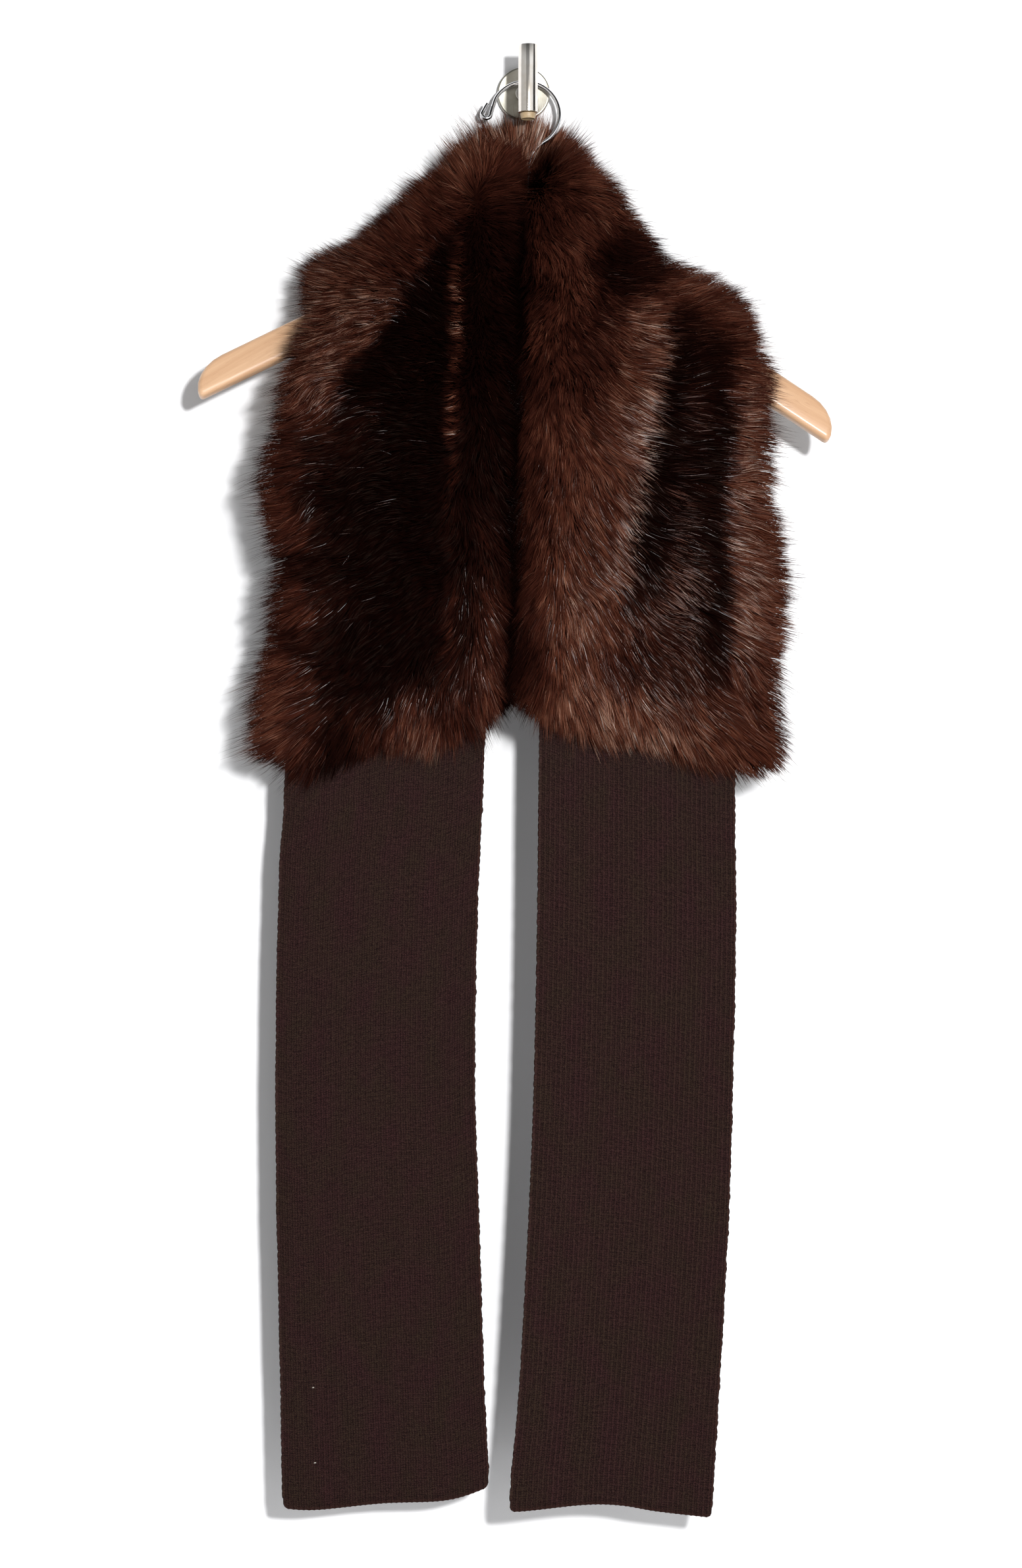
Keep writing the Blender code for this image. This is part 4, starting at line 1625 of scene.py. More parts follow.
@dataclass
class FurStretch:
    """One stretch of the fur tube: a thin backing inside its solid, and the hair on it.

    Counts are the hairs of each kind. The cut is the opened tube's width and length in metres. The
    shares are how much hair there is behind and in front for its area. The backing lies in the band
    of the pile's room, at the pile's depth of it, and the voxels are how finely it is worked out.
    Seen at is the share of a hair's length where it takes its tone. A swell is a spot where the
    backing lies nearer to the solid's surface: its x and z, its reach and its rise in millimetres.
    A tuft is a spot with more hair for its area: its x and z, its reach in millimetres and how much
    more.
    """

    node: str
    name: str
    lie: Lie
    partings: tuple[Parting, ...]
    counts: dict[str, int]
    open_end: Vector
    seed: int
    hook: WireHook
    cut: tuple[float, float] = (0.31, 0.43)
    rests_on: tuple[str, ...] = ("hanger_board",)
    back_share: float = 0.34
    front_share: float = 1.0
    pile_room: float = 18.0
    pile_depth: float = 0.45
    fill_voxel: float = 2.5
    sheet_voxel: float = 6.5
    seen_at: float = 0.62
    backing_thickness: float = 1.5
    wall_gap: float = 1.0
    wire_gap: float = 2.6
    growth: Growth = Growth()
    swells: tuple[tuple[float, float, float, float], ...] = ()
    tufts: tuple[tuple[float, float, float, float], ...] = ()

    def backing(self, solid: Object) -> Object:
        """The inside form of the solid at the pile's depth, as an open sheet.

        Args:
            solid: the solid node.

        Returns:
            The sheet, one layer thick.
        """
        copy = merged_copy(solid, self.name + "_outer")
        volume = bpy.data.objects.new(self.name + "_volume", bpy.data.volumes.new(self.name))
        bpy.context.scene.collection.objects.link(volume)
        filled = volume.modifiers.new("filled", "MESH_TO_VOLUME")
        filled.object = copy
        filled.density = 1.0
        filled.interior_band_width = self.pile_room * MM
        filled.resolution_mode = "VOXEL_SIZE"
        filled.voxel_size = self.fill_voxel * MM
        inner = new_mesh_object(self.name, bpy.data.meshes.new(self.name))
        drawn = inner.modifiers.new("drawn", "VOLUME_TO_MESH")
        drawn.object = volume
        drawn.threshold = self.pile_depth
        drawn.resolution_mode = "VOXEL_SIZE"
        drawn.voxel_size = self.sheet_voxel * MM
        bpy.context.view_layer.update()
        evaluated = inner.evaluated_get(bpy.context.evaluated_depsgraph_get())
        inner.data = bpy.data.meshes.new_from_object(evaluated)
        inner.modifiers.clear()
        for used in (copy, volume):
            bpy.data.objects.remove(used)
        shape = bmesh.new()
        shape.from_mesh(inner.data)
        bmesh.ops.smooth_vert(
            shape, verts=shape.verts, factor=0.5, use_axis_x=True, use_axis_y=True, use_axis_z=True
        )
        shape.normal_update()
        for vertex in shape.verts:
            flat = Vector((vertex.co.x, vertex.co.z)) / MM
            rise = sum(
                height * math.exp(-((flat - Vector((x, z))).length / reach) ** 2)
                for x, z, reach, height in self.swells
            )
            vertex.co += vertex.normal * rise * MM
        shape.to_mesh(inner.data)
        shape.free()
        inner.data.shade_smooth()
        return inner

    def finish_backing(self, sheet: Object) -> None:
        """Opens the tube at its end, gives the sheet its thickness and notes its tone.

        Args:
            sheet: the closed backing.
        """
        shape = bmesh.new()
        shape.from_mesh(sheet.data)
        facing, depth = 0.8, 0.05
        reach = max(v.co.dot(self.open_end) for v in shape.verts)
        cut = [
            face for face in shape.faces
            if face.normal.dot(self.open_end) > facing
            and face.calc_center_median().dot(self.open_end) > reach - depth
        ]
        bmesh.ops.delete(shape, geom=cut, context="FACES")
        shape.to_mesh(sheet.data)
        shape.free()
        thicken(sheet, self.backing_thickness)
        points = np.array([v.co for v in sheet.data.vertices], float)
        tone, _ = self.dyed(points)
        note = sheet.data.attributes.new(TONE_NOTE, "FLOAT", "POINT")
        note.data.foreach_set("value", tone.astype(np.float32))

    def dyed(self, points: np.ndarray) -> tuple[np.ndarray, np.ndarray]:
        """The coat's tone and its share of silvery hairs at some places.

        Args:
            points: the places.

        Returns:
            The two numbers for each place.
        """
        _, _, tone, silver = self.lie.read(points)
        for parting in self.partings:
            tone, silver = parting.dye(points, tone, silver)
        return tone, silver

    def density(self, points: np.ndarray, normals: np.ndarray, hair: Hair) -> np.ndarray:
        """How many hairs a place gets for its area.

        Args:
            points: the places.
            normals: the backing's directions there.
            hair: the kind of hair.

        Returns:
            A weight for each place.
        """
        facing = np.clip(0.5 - 2.5 * normals[:, 1], 0, 1)
        weight = self.back_share + (self.front_share - self.back_share) * facing
        flat = flattened(points)
        for x, z, reach, more in self.tufts:
            weight = weight * (1 + more * spot(flat, x, z, reach))
        if hair.silver:
            way = self.lie.read(points)[0]
            _, silver = self.dyed(points + way * (self.seen_at * hair.length * MM))
            weight = weight * (0.003 + silver ** 1.6)
        return weight

    def roots(self, sheet: Object, hair: Hair, rng: np.random.Generator) -> tuple:
        """Scatters hair roots over the backing.

        Args:
            sheet: the backing.
            hair: the kind of hair.
            rng: the source of chance.

        Returns:
            The roots and the backing's directions there.
        """
        mesh = sheet.data
        mesh.calc_loop_triangles()
        points = np.array([v.co for v in mesh.vertices], float)
        normals = np.array([v.normal for v in mesh.vertices], float)
        triangles = np.array([t.vertices for t in mesh.loop_triangles], int)
        corners = points[triangles]
        count = self.counts[hair.label]
        first, second = corners[:, 1] - corners[:, 0], corners[:, 2] - corners[:, 0]
        area = np.linalg.norm(np.cross(first, second), axis=1)
        weight = area * self.density(corners.mean(1), normals[triangles].mean(1), hair)
        chosen = rng.choice(len(triangles), count, p=weight / weight.sum())
        share = rng.dirichlet((1, 1, 1), count)[:, :, None]
        root = (corners[chosen] * share).sum(1)
        normal = unit((normals[triangles[chosen]] * share).sum(1))
        return root, normal

    def lines(self, root: np.ndarray, normal: np.ndarray, hair: Hair,
              rng: np.random.Generator) -> Strands:
        """Draws the middle line of each hair.

        Args:
            root: the roots.
            normal: the backing's directions there.
            hair: the kind of hair.
            rng: the source of chance.

        Returns:
            The hairs.
        """
        count = len(root)
        way, lift, *_ = self.lie.read(root)
        for parting in self.partings:
            way = parting.comb(root, way)
        grow = self.growth
        swirl = grow.swirl.over(root, self.seed) + grow.ripple.over(root, self.seed + 1)
        swirl += np.radians(hair.stray) * rng.normal(size=count)
        c, s, x, z = np.cos(swirl), np.sin(swirl), way[:, 0], way[:, 2]
        way = np.stack([c * x - s * z, np.zeros(count), s * x + c * z], 1)
        into = np.minimum((way * normal).sum(1), 0.0)
        way = unit(way - into[:, None] * normal)
        side = unit(np.cross(normal, way) + 1e-6)

        lift = lift + grow.stray_lift * rng.normal(size=count) + grow.rise.over(root, self.seed + 2)
        upright = grow.upright_cut * np.clip(lift / (math.pi / 2), 0, 1)
        length = hair.length * MM * (1 - upright) * rng.uniform(*grow.lengths, count)
        length *= (1 + grow.spurt.over(root, self.seed + 3)) * self.lie.length(root)
        length *= 1 - hair.outward * np.clip((way * normal).sum(1), 0, 1)
        curl = grow.bend.over(root, self.seed + 4)
        curl += np.radians(hair.curl) * rng.normal(size=count)

        line = np.zeros((count, hair.segments + 1, 3))
        line[:, 0] = root
        for k in range(hair.segments):
            t = (k + 0.5) / hair.segments
            stand = np.minimum(lift + grow.root_lift, grow.most_lift) * (1 - t)
            stand = stand + grow.tip_share * lift * t
            turned = np.cos(curl * t)[:, None] * way + np.sin(curl * t)[:, None] * side
            step = np.cos(stand)[:, None] * turned + np.sin(stand)[:, None] * normal
            line[:, k + 1] = line[:, k] + step * (length / hair.segments)[:, None]
        line, lock = self.gather(line, hair, rng)
        line[..., 1] = np.minimum(line[..., 1], -self.wall_gap * MM)

        seen = root + self.seen_at * (line[:, -1] - root)
        tone = self.tones(seen, hair, rng)
        flow = unit(line[:, -1] - root)
        drawn = sum(
            strength * streaks(seen, flow, pitch, reach, self.seed + 8 + i)
            for i, (strength, pitch, reach) in enumerate(grow.streaks)
        )
        change = hair.lock_tone * lock + hair.streak_tone * drawn
        tone = np.clip(tone + (0.18 + tone) * change[:, None], 0, 1)
        width = hair.width * MM * rng.uniform(*grow.widths, count)
        roll = np.radians(hair.roll) * rng.normal(size=count)
        return Strands(line, side, normal, roll, width, tone)

    def gather(self, line: np.ndarray, hair: Hair, rng: np.random.Generator) -> tuple:
        """Draws the tips of neighbouring hairs together into locks.

        Args:
            line: the hairs' middle lines.
            hair: the kind of hair.
            rng: the source of chance.

        Returns:
            The gathered lines, and a number about 0 for each hair that its whole lock has.
        """
        count = len(line)
        leaders = rng.choice(count, max(count // hair.per_lock, 1), replace=False)
        tree = KDTree(len(leaders))
        for i, leader in enumerate(leaders):
            tree.insert(line[leader, 0], i)
        tree.balance()
        chosen = np.array([tree.find(point)[1] for point in line[:, 0]])
        nearest = leaders[chosen]
        pull = hair.gathered * rng.uniform(*self.growth.pulls, count)
        run = np.linspace(0, 1, line.shape[1]) ** 1.4
        share = np.clip(pull[:, None] * run, 0, self.growth.most_pull)[:, :, None]
        return line + share * (line[nearest] - line), rng.normal(size=len(leaders))[chosen]

    def tones(self, root: np.ndarray, hair: Hair, rng: np.random.Generator) -> np.ndarray:
        """The tones of each hair.

        Args:
            root: where each hair is seen in the coat.
            hair: the kind of hair.
            rng: the source of chance.

        Returns:
            Two tones from 0 to 1 for each hair, at its root and at its tip.
        """
        count = len(root)
        tone, silver = self.dyed(root)
        grow = self.growth
        patchy = grow.cloud.over(root, self.seed + 5) + grow.patch.over(root, self.seed + 6)
        patchy += hair.hair_tone * rng.normal(size=count)
        # The lighter the coat is, the more its tone varies.
        tone = tone * (1 + 0.8 * patchy) + (0.15 + 0.6 * tone) * patchy
        ends = np.stack([tone - 0.02, tone], 1)
        for parting in self.partings:
            spotty = np.clip(0.85 + grow.spots.over(root, self.seed + 7), 0, 1.2)
            near = parting.pale(root) * spotty * rng.uniform(*grow.pales, count)
            ends += near[:, None] * np.array((1.0, 0.85)) * (parting.tone - ends)
        if hair.silver:
            # Silvery hairs are pale towards their tips, and most where there are many of them: partly
            # the hairs' own silvery tips, partly painted highlight for the glints that the guard hairs
            # catch.
            pale = 0.20 * rng.uniform(size=count) + 0.38 * silver ** 2
            ends = 0.5 * ends + np.stack([0.06 + 0.5 * pale, 0.34 + pale], 1)
        return np.clip(ends, 0, 1)

    def clear_of_wire(self, strands: Strands) -> Strands:
        """Leaves out the hairs that would cross in front of the hook's open bend.

        Args:
            strands: the hairs.

        Returns:
            The hairs that stay.
        """
        neck_top, middle_reach = -41.0, 0.07
        route = np.array([place for place in self.hook.route() if place[1] > neck_top])
        picked = np.nonzero(np.abs(strands.lines[:, 0, 0]) < middle_reach)[0]
        wanted = np.ones(len(strands.lines), bool)
        steps = strands.lines.shape[1] - 1
        for share in (0.35, 0.7, 1.0):
            low = int(share * steps * 0.999)
            part = share * steps - low
            middle = strands.lines[picked, low] * (1 - part) + strands.lines[picked, low + 1] * part
            flat = flattened(middle)
            gap = np.sqrt(((flat[:, None] - route[None]) ** 2).sum(-1)).min(1)
            front = -middle[:, 1] / MM > self.hook.depth(flat[:, 1]) - 2.0
            wanted[picked[(gap < self.wire_gap) & front]] = False
        return strands.keep(wanted)

    def build(self, solid: Object, finishes: dict[str, Material], backing: Material) -> None:
        """Makes the backing and each kind of hair.

        Args:
            solid: the solid node.
            finishes: the finish of each kind of hair.
            backing: the finish of the backing.
        """
        rng = np.random.default_rng(self.seed)
        sheet = self.backing(solid)
        for hair in (UNDERFUR, GUARD, SILVER):
            root, normal = self.roots(sheet, hair, rng)
            strands = self.clear_of_wire(self.lines(root, normal, hair, rng))
            name = f"{self.name}_{hair.label}"
            piece = new_mesh_object(name, strands.mesh(name))
            dress(piece, name, finishes[hair.label])
        self.finish_backing(sheet)
        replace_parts(dress(sheet, self.name + "_backing", backing), self.node)


LEFT_LIE = Lie((
    (-30, -42, 132, 26, 0.59, 0.3),
    (-60, -72, 150, 24, 0.51, 0.3),
    (-100, -106, 154, 24, 0.44, 0.3),
    (-130, -126, 166, 22, 0.46, 0.5),
    (-160, -124, 148, 24, 0.42, 0.2),
    (-152, -150, 192, 18, 0.37, 0.6),
    (-125, -165, 206, 18, 0.34, 0.7),
    (-112, -180, 226, 18, 0.38, 0.7),
    (-160, -190, 206, 18, 0.38, 0.4),
    (-132, -200, 218, 16, 0.37, 0.8),
    (-148, -220, 220, 16, 0.34, 0.85),
    (-118, -212, 215, 40, 0.03, 0.0),
    (-172, -225, 208, 20, 0.36, 0.3),
    (-95, -132, 168, 58, 0.24, 0.0),
    (-75, -105, 160, 50, 0.34, 0.0),
    (-84, -155, 180, 66, 0.06, 0.0),
    (-95, -200, 190, 72, 0.01, 0.0),
    (-105, -300, 200, 72, 0.00, 0.0),
    (-115, -400, 215, 66, 0.00, 0.0),
    (-75, -250, 185, 72, 0.00, 0.0),
    (-70, -340, 200, 72, 0.00, 0.0),
    (-78, -400, 225, 66, 0.01, 0.0),
    (-100, -430, 228, 56, 0.04, 0.0),
    (-130, -290, 205, 55, 0.02, 0.0),
    (-140, -400, 214, 45, 0.10, 0.0),
    (-148, -262, 205, 36, 0.12, 0.0),
    (-147, -335, 204, 46, 0.04, 0.0),
    (-166, -266, 208, 24, 0.36, 0.2),
    (-170, -320, 203, 24, 0.44, 0.2),
    (-168, -372, 215, 24, 0.38, 0.2),
    (-174, -430, 205, 24, 0.40, 0.2),
    (-188, -456, 205, 22, 0.49, 0.4),
    (-168, -470, 213, 20, 0.34, 0.2),
    (-135, -466, 232, 35, 0.08, 0.0),
    (-105, -464, 246, 26, 0.34, 0.3),
    (-78, -450, 262, 22, 0.54, 0.6),
    (-60, -428, 252, 32, 0.26, 0.1),
    (-46, -440, 288, 26, 0.30, 0.2),
    (-30, -416, 296, 26, 0.54, 0.4),
    (-27, -372, 276, 34, 0.48, 0.3),
    (-48, -384, 262, 44, 0.26, 0.0),
    (-30, -330, 282, 46, 0.22, 0.0),
    (-30, -260, 284, 60, 0.07, 0.0),
    (-30, -200, 286, 62, 0.07, 0.0),
    (-28, -130, 278, 58, 0.12, 0.0),
    (-48, -92, 165, 34, 0.30, 0.1),
    (-14, -56, 20, 46, 0.34, 0.0),
    (-14, -92, -30, 46, 0.24, 0.0),
    # The rows along the slit are dark: higher up with the front's own black band, lower down as painted
    # shade in the gap between the fronts.
    (-16, -124, -60, 52, 0.12, 0.0),
    (-14, -180, -62, 58, 0.06, 0.0),
    (-12, -240, -62, 58, 0.06, 0.0),
    (-12, -300, -62, 58, 0.08, 0.0),
    (-12, -352, -52, 50, 0.06, 0.0),
    (-12, -404, -48, 44, 0.12, 0.0),
), plumes=(
    (-190, -250, 30, 1.25), (-190, -340, 35, 1.32), (-190, -430, 35, 1.32), (-12, -80, 30, 1.3),
    (-12, -390, 34, 1.25),
))

RIGHT_LIE = Lie((
    (6, -50, 25, 28, 0.50, 0.1),
    (8, -74, -50, 32, 0.30, 0.1),
    (8, -104, -96, 40, 0.26, 0.0),
    (26, -70, -40, 30, 0.24, 0.0),
    # These rows along the slit are near black: painted shade in the gap between the fronts.
    (-13, -150, 250, 56, 0.05, 0.0),
    (-14, -220, 245, 56, 0.04, 0.0),
    (-14, -280, 245, 56, 0.04, 0.0),
    (-14, -340, 240, 52, 0.04, 0.0),
    (-14, -390, 232, 48, 0.04, 0.0),
    (-14, -430, 242, 40, 0.10, 0.0),
    (28, -46, 30, 26, 0.46, 0.1),
    (50, -62, -6, 26, 0.56, 0.2),
    (66, -84, -40, 26, 0.54, 0.3),
    (85, -104, -40, 28, 0.46, 0.2),
    (112, -126, -6, 26, 0.52, 0.3),
    (140, -150, -6, 26, 0.48, 0.3),
    (162, -184, -12, 24, 0.45, 0.3),
    (75, -145, -20, 50, 0.00, 0.0),
    (74, -128, -30, 46, 0.04, 0.0),
    (98, -148, -10, 28, 0.50, 0.5),
    (36, -104, -70, 30, 0.38, 0.2),
    (22, -146, -80, 34, 0.44, 0.3),
    (30, -215, -66, 34, 0.31, 0.2),
    (2, -190, -92, 34, 0.46, 0.2),
    (46, -190, -60, 34, 0.28, 0.2),
    (64, -190, -30, 26, 0.25, 0.75),
    (66, -222, -34, 28, 0.26, 0.4),
    (92, -174, -8, 16, 0.48, 0.9),
    (90, -235, -6, 16, 0.18, 0.9),
    (112, -200, -6, 34, 0.04, 0.3),
    (112, -280, -12, 34, 0.02, 0.2),
    (92, -312, -20, 18, 0.05, 0.6),
    (72, -362, -44, 22, 0.36, 0.9),
    (102, -372, -36, 20, 0.08, 0.8),
    (120, -400, -46, 26, 0.12, 0.5),
    (78, -402, -50, 30, 0.18, 0.3),
    (50, -300, -54, 30, 0.38, 0.2),
    (28, -310, -68, 28, 0.44, 0.3),
    (2, -240, -88, 30, 0.44, 0.2),
    (2, -300, -88, 28, 0.46, 0.2),
    (18, -268, -76, 26, 0.49, 0.2),
    (2, -350, -86, 26, 0.50, 0.2),
    (14, -385, -78, 24, 0.57, 0.3),
    (42, -368, -60, 20, 0.57, 0.4),
    (58, -384, -48, 20, 0.50, 0.3),
    (32, -432, -74, 22, 0.55, 0.4),
    (4, -432, -88, 24, 0.56, 0.1),
    (72, -446, -60, 20, 0.57, 0.5),
    (100, -420, -50, 24, 0.30, 0.6),
    (112, -456, -50, 22, 0.50, 0.5),
    (150, -466, -36, 22, 0.42, 0.2),
    (165, -482, -46, 22, 0.45, 0.2),
    (146, -220, -8, 20, 0.40, 0.4),
    (146, -300, -12, 18, 0.48, 0.8),
    (146, -380, -20, 18, 0.48, 0.8),
    (166, -300, -8, 22, 0.40, 0.3),
    (166, -380, -14, 22, 0.42, 0.3),
    (130, -430, -50, 24, 0.40, 0.4),
), plumes=((4, -80, 30, 1.3), (-4, -390, 34, 1.25), (76, -90, 24, 0.72)))

NECK_LIE = Lie((
    (-10, -22, 108, 34, 0.70, 0.4),
    (14, -22, 70, 34, 0.71, 0.4),
    (34, -36, 20, 28, 0.46, 0.2),
    (-40, -36, 138, 26, 0.62, 0.3),
    (-100, -90, 150, 32, 0.44, 0.1),
    (-158, -122, 160, 26, 0.44, 0.2),
    (80, -88, -20, 28, 0.44, 0.1),
    (138, -146, 4, 28, 0.40, 0.1),
    (162, -184, -14, 24, 0.40, 0.3),
    (-150, -186, 214, 26, 0.40, 0.2),
    (150, -204, -30, 26, 0.40, 0.2),
    (-80, -196, 250, 30, 0.38, 0.2),
    (80, -200, -70, 30, 0.38, 0.2),
    (0, -186, 270, 32, 0.34, 0.2),
    (0, -100, 268, 44, 0.34, 0.2),
    (-70, -130, 225, 40, 0.20, 0.1),
    (70, -136, -45, 40, 0.20, 0.1),
), plumes=((-8, -28, 40, 1.85), (76, -90, 24, 0.72)))

# The slit where the fronts meet gets a black tone on both sides of it: painted shade in the gap between
# them.
SLIT_SHADE = Parting(
    (
        (-4, -92, 0.0, 0.0), (-5, -110, 0.8, 0.0), (-7.5, -153, 1.0, 0.0), (-10.5, -216, 1.0, 0.0),
        (-12.5, -289, 1.0, 0.0), (-14.5, -361, 1.0, 0.0), (-15.5, -413, 1.0, 0.0), (-17, -450, 1.0, 0.0),
    ),
    sides=(0.0, 0.0), spread=3.4,
)
LEFT_PARTINGS = (
    Parting(
        (
            (-50, -98, 0.0, 0.0), (-60, -114, 0.6, 0.0), (-84, -149, 0.9, 0.0),
            (-100, -176, 1.0, 0.0), (-118, -200, 1.0, 0.0), (-132, -223, 0.9, 0.0),
            (-137, -243, 0.4, 0.0), (-140, -262, 0.0, 0.0),
        ),
        sides=(0.35, 0.01), spread=34.0, silver=-0.35,
    ),
    Parting(
        (
            (-50, -108, 0.1, 0.1), (-50, -128, 0.6, 0.5), (-51, -144, 1.0, 0.8), (-53, -166, 1.0, 1.0),
            (-54, -190, 1.0, 1.0), (-54, -206, 1.0, 0.8), (-54, -213, 0.9, 0.35), (-54, -223, 0.9, 0.7),
            (-57, -238, 1.0, 1.0), (-58, -252, 0.9, 0.9), (-57, -264, 0.8, 0.3), (-55, -279, 0.8, 0.7),
            (-56, -288, 0.6, 0.3), (-57, -340, 0.5, 0.15), (-57, -385, 0.5, 0.45), (-58, -425, 0.2, 0.0),
        ),
        sides=(0.01, 0.06), spread=20.0, half_width=4.4, tone=0.84, ways=(182.0, 178.0), turn=0.8,
    ),
    SLIT_SHADE,
)
RIGHT_PARTINGS = (
    Parting(
        (
            (90, -155, 0.0, 0.2), (88, -168, 0.6, 0.8), (84, -203, 0.8, 1.0), (77, -244, 0.9, 0.9),
            (68, -282, 1.0, 1.0), (64, -310, 1.0, 1.0), (59, -347, 0.8, 0.8), (53, -379, 0.3, 0.3),
        ),
        sides=(0.46, 0.01), spread=32.0, half_width=5.0, tone=0.72, silver=1.0,
    ),
    Parting(
        (
            (140, -175, 0.0, 0.0), (140, -215, 0.7, 0.5), (136, -291, 0.8, 0.9), (136, -338, 0.8, 1.0),
            (137, -385, 0.8, 0.8), (136, -425, 0.3, 0.3),
        ),
        sides=(0.01, 0.46), spread=22.0, half_width=4.5, tone=0.70, silver=1.0,
    ),
    SLIT_SHADE,
)


# ---------------------------------------------------------------- the studio


@dataclass
class Studio:
    """A white wall and floor, one lamp and the camera. Places and sizes are metres.

    The frame's height, the focal share and the sideways shift are pixels of the whole frame. The
    room is what the metal mirrors: stripes of light by the way to the right, from -1 to 1, in a band
    about eye height and on the camera's side.
    """

    camera_place: tuple[float, float, float] = (-0.146, -2.255, -0.4884)
    frame_height: float = 2380.0
    focal_share: float = 4828.0
    sensor: float = 36.0
    sideways: float = 294.1
    lamp_place: tuple[float, float, float] = (0.33, -2.5, -0.17)
    lamp_aim: tuple[float, float, float] = (0.0, 0.0, -0.5)
    lamp_size: float = 0.16
    lamp_power: float = 72.0
    room_base: float = 0.025
    room_peak: float = 1.15
    room_stripes: tuple[tuple[float, float], ...] = (
        (-0.98, 0.50), (-0.42, 0.56), (-0.37, 0.16), (-0.30, 0.26), (0.13, 0.24),
        (0.19, 0.10), (0.27, 0.92), (0.80, 0.96), (0.88, 0.00), (1.00, 0.00),
    )
    room_band: tuple[float, float] = (0.34, 0.52)
    room_front: float = 0.1
    floor_height: float = -1.32
    extent: float = 6.0
    wall_depth: float = 0.0003

    def backdrop(self, name: str, turn: float, place: Vector, finish: Material) -> None:
        """Adds one large flat backdrop.

        Args:
            name: its name.
            turn: its turn about X, in radians.
            place: its middle.
            finish: its material.
        """
        deselect_all()
        bpy.ops.mesh.primitive_plane_add(size=self.extent, location=place, rotation=(turn, 0, 0))
        board = bpy.context.object
        settle(board)
        board.name = name
        board.data.materials.append(finish)

    def build(self) -> None:
        """Makes the backdrops, the lights and the camera."""
        scene = bpy.context.scene
        scene.view_settings.view_transform = "Standard"
        middle = self.floor_height + self.extent / 2
        paint = BackdropFinish("wall_paint", (0.86, 0.86, 0.87)).material()
        self.backdrop("wall", math.pi / 2, Vector((0, self.wall_depth, middle)), paint)
        pale = BackdropFinish("floor_paint", (0.80, 0.80, 0.80)).material()
        self.backdrop("floor", 0.0, Vector((0, 0, self.floor_height)), pale)

        scene.world = self.room()

        lamp = bpy.data.lights.new("lamp", "AREA")
        lamp.shape = "DISK"
        lamp.size = self.lamp_size
        lamp.energy = self.lamp_power
        lamp_object = bpy.data.objects.new("lamp", lamp)
        lamp_object.location = self.lamp_place
        aim = Vector(self.lamp_aim) - Vector(self.lamp_place)
        lamp_object.rotation_euler = aim.to_track_quat("-Z", "Y").to_euler()
        scene.collection.objects.link(lamp_object)

        camera = bpy.data.cameras.new("camera")
        camera.sensor_fit = "AUTO"
        camera.sensor_width = self.sensor
        camera.lens = self.sensor * self.focal_share / self.frame_height
        camera.shift_x = self.sideways / self.frame_height
        camera_object = bpy.data.objects.new("camera", camera)
        camera_object.location = self.camera_place
        camera_object.rotation_euler = (math.pi / 2, 0, 0)
        scene.collection.objects.link(camera_object)
        scene.camera = camera_object

    def room(self) -> World:
        """The world's soft light.

        Returns:
            The world.
        """
        world = bpy.data.worlds.new("room")
        world.use_nodes = True
        graph = Graph(world.node_tree)
        way = graph.node("ShaderNodeTexCoord").outputs["Generated"]
        parts = graph.node("ShaderNodeSeparateXYZ", inputs={0: way}).outputs
        right, back, up = (Value(graph, parts[i]) for i in range(3))
        stops = tuple((0.5 + 0.5 * x, (light,) * 3) for x, light in self.room_stripes)
        stripes = Value(graph, graph.ramp(right * 0.5 + 0.5, stops))
        low, high = self.room_band
        inputs = {"Value": up.size(), "From Min": low, "From Max": high, "To Min": 1.0, "To Max": 0.0}
        band = graph.node("ShaderNodeMapRange", {"interpolation_type": "SMOOTHSTEP"}, inputs)
        light = stripes * Value(graph, band.outputs[0]) * back.math("LESS_THAN", self.room_front)
        background = world.node_tree.nodes["Background"]
        background.inputs[0].default_value = (1.0, 1.0, 1.0, 1.0)
        strength = light * self.room_peak + self.room_base
        world.node_tree.links.new(strength.socket, background.inputs[1])
        return world


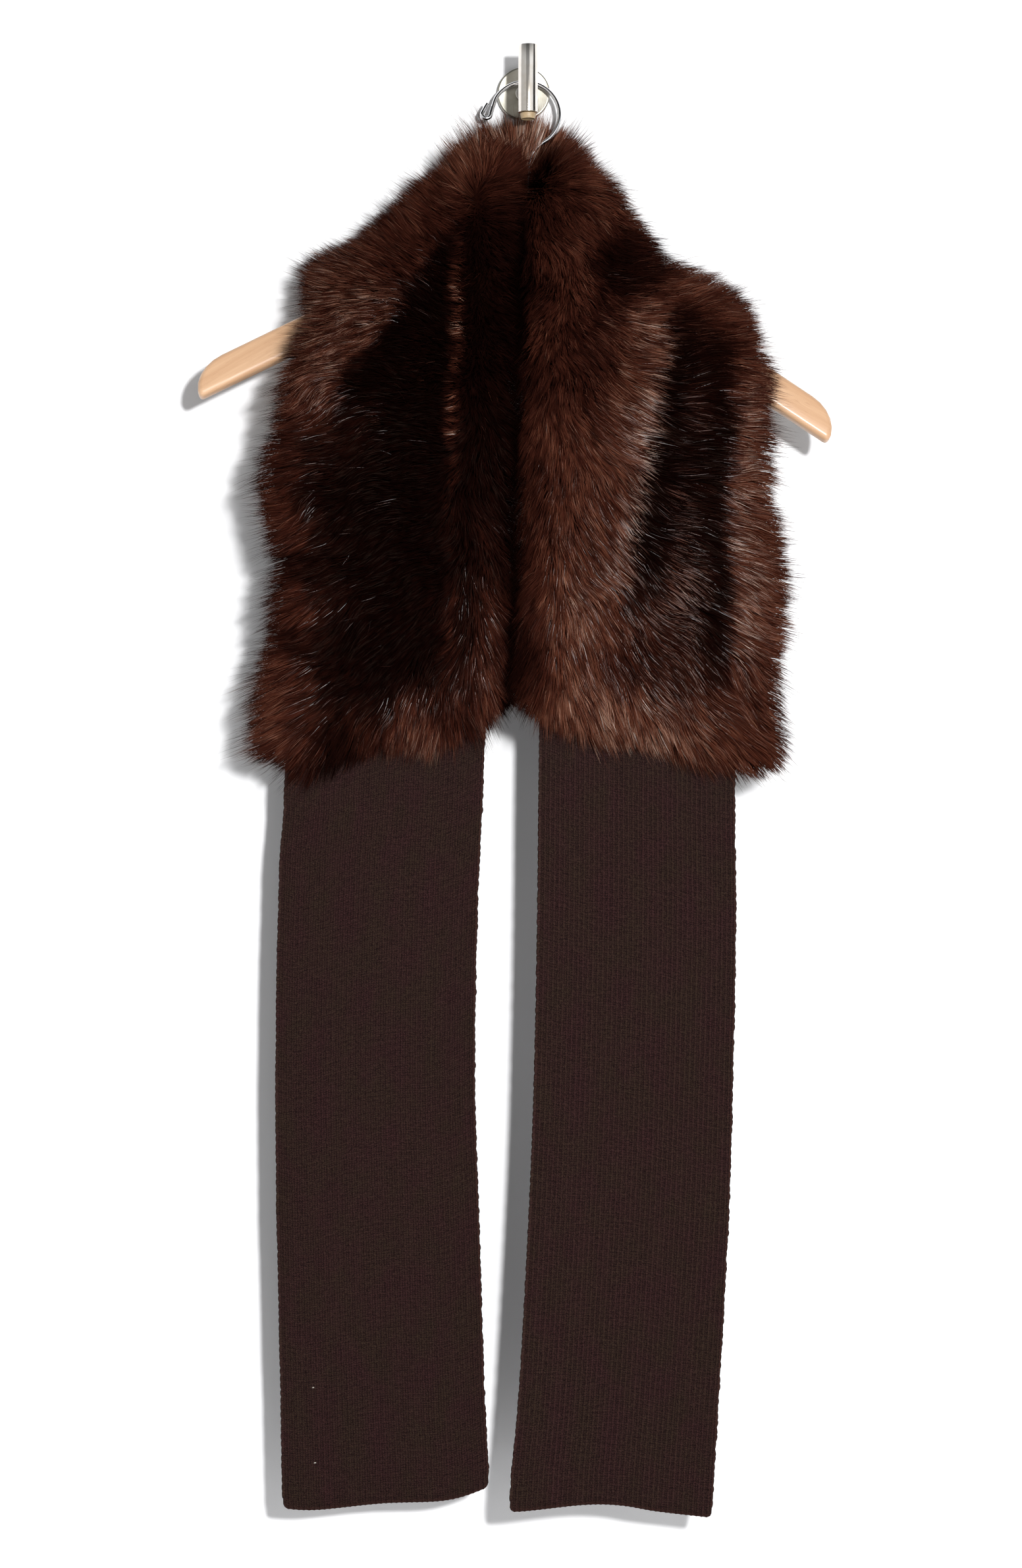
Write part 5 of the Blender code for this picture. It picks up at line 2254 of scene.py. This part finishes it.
def main() -> None:
    """Builds the dressed object round its frame."""
    logging.basicConfig(level=logging.INFO, format="%(message)s")
    for thing in list(bpy.data.objects):
        bpy.data.objects.remove(thing)
    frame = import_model()
    nodes = frame["nodes"]
    deselect_all()
    Studio().build()

    nickel = MetalFinish("nickel_bar", (0.78, 0.75, 0.71), (0.66, 0.60, 0.52), 0.13, Grain.UPRIGHT)
    brushed = MetalFinish("nickel_disc", (0.42, 0.405, 0.355), (0.29, 0.27, 0.22), 0.36, Grain.ROUND)
    chrome = MetalFinish("chrome", (0.90, 0.90, 0.92), (0.80, 0.80, 0.82), 0.13, Grain.POLISHED)
    WallPeg().build(nickel.material(), brushed.material(), PlugFinish().material())
    hook = WireHook()
    hook.build(chrome.material())
    WoodenHanger().build(nodes["hanger_wood"], BeechFinish().material())

    furs = (
        FurFinish("fur_pile", 0.60, 0.0, (1.0, 0.62, 0.45), root_shade=0.30, root_end=0.60),
        FurFinish("fur_guard", 0.42, 0.03, (1.0, 0.70, 0.55), root_shade=0.25, root_end=0.75),
        FurFinish("fur_silver", 0.32, 0.20, (0.96, 0.98, 1.0), root_shade=0.30, root_end=0.55),
    )
    hairs = {hair.label: fur.material() for hair, fur in zip((UNDERFUR, GUARD, SILVER), furs)}
    backing = BackingFinish().material()
    down = Vector((0, 0, -1))
    stretches = (
        FurStretch(
            "fur_front_left", "fur_left", LEFT_LIE, LEFT_PARTINGS,
            {"pile": 64000, "guard": 15000, "silver": 7000}, down, seed=11, hook=hook,
            swells=(
                (-14, -62, 26, 8.0), (-14, -105, 26, 7.0), (-14, -150, 26, 5.0),
                (-14, -200, 28, 4.0), (-12, -260, 30, 4.0), (-12, -320, 30, 4.0),
                (-14, -375, 28, 6.0), (-14, -420, 24, 6.0),
            ),
            tufts=(
                (-12, -70, 24, 1.5), (-12, -110, 24, 1.0), (-14, -250, 60, 1.0), (-14, -370, 30, 1.2),
                (-16, -420, 26, 1.2), (-6, -46, 14, 2.0),
            ),
        ),
        FurStretch(
            "fur_front_right", "fur_right", RIGHT_LIE, RIGHT_PARTINGS,
            {"pile": 64000, "guard": 15000, "silver": 14000}, down, seed=23, hook=hook,
            swells=(
                (8, -62, 26, 8.0), (6, -105, 26, 7.0), (4, -150, 26, 5.0),
                (2, -200, 28, 4.0), (0, -260, 30, 4.0), (0, -320, 30, 4.0),
                (-4, -375, 28, 6.0), (-4, -420, 24, 6.0),
            ),
            tufts=(
                (6, -70, 24, 1.5), (6, -110, 24, 1.0), (-2, -250, 60, 1.0), (-4, -370, 30, 1.2),
                (-4, -420, 26, 1.2), (8, -48, 14, 2.5),
            ),
        ),
        FurStretch(
            "fur_neck_back", "fur_neck", NECK_LIE, (),
            {"pile": 47000, "guard": 9000, "silver": 2000}, Vector((1, 0, 0)), seed=37, hook=hook,
            cut=(0.28, 0.24), back_share=1.0, front_share=0.45,
            swells=((-12, -30, 34, 9.0), (14, -32, 26, 8.0)),
            tufts=((-4, -26, 26, 1.2), (12, -28, 20, 1.2)),
        ),
    )
    for stretch in stretches:
        stretch.build(nodes[stretch.node], hairs, backing)

    flecked = KnitFinish("rib_knit_flecked", specks=((22.7, 446.0), (22.7, 499.5)))
    plain = KnitFinish(rib_light=0.34)
    left = KnitTail("knit_tail_left", "knit_left", held_by="fur_left_backing", seed=5)
    right = KnitTail("knit_tail_right", "knit_right", held_by="fur_right_backing", seed=9)
    for tail, finish in ((left, flecked), (right, plain)):
        tail.build(nodes[tail.node], finish.material())


if __name__ == "__main__":
    main()
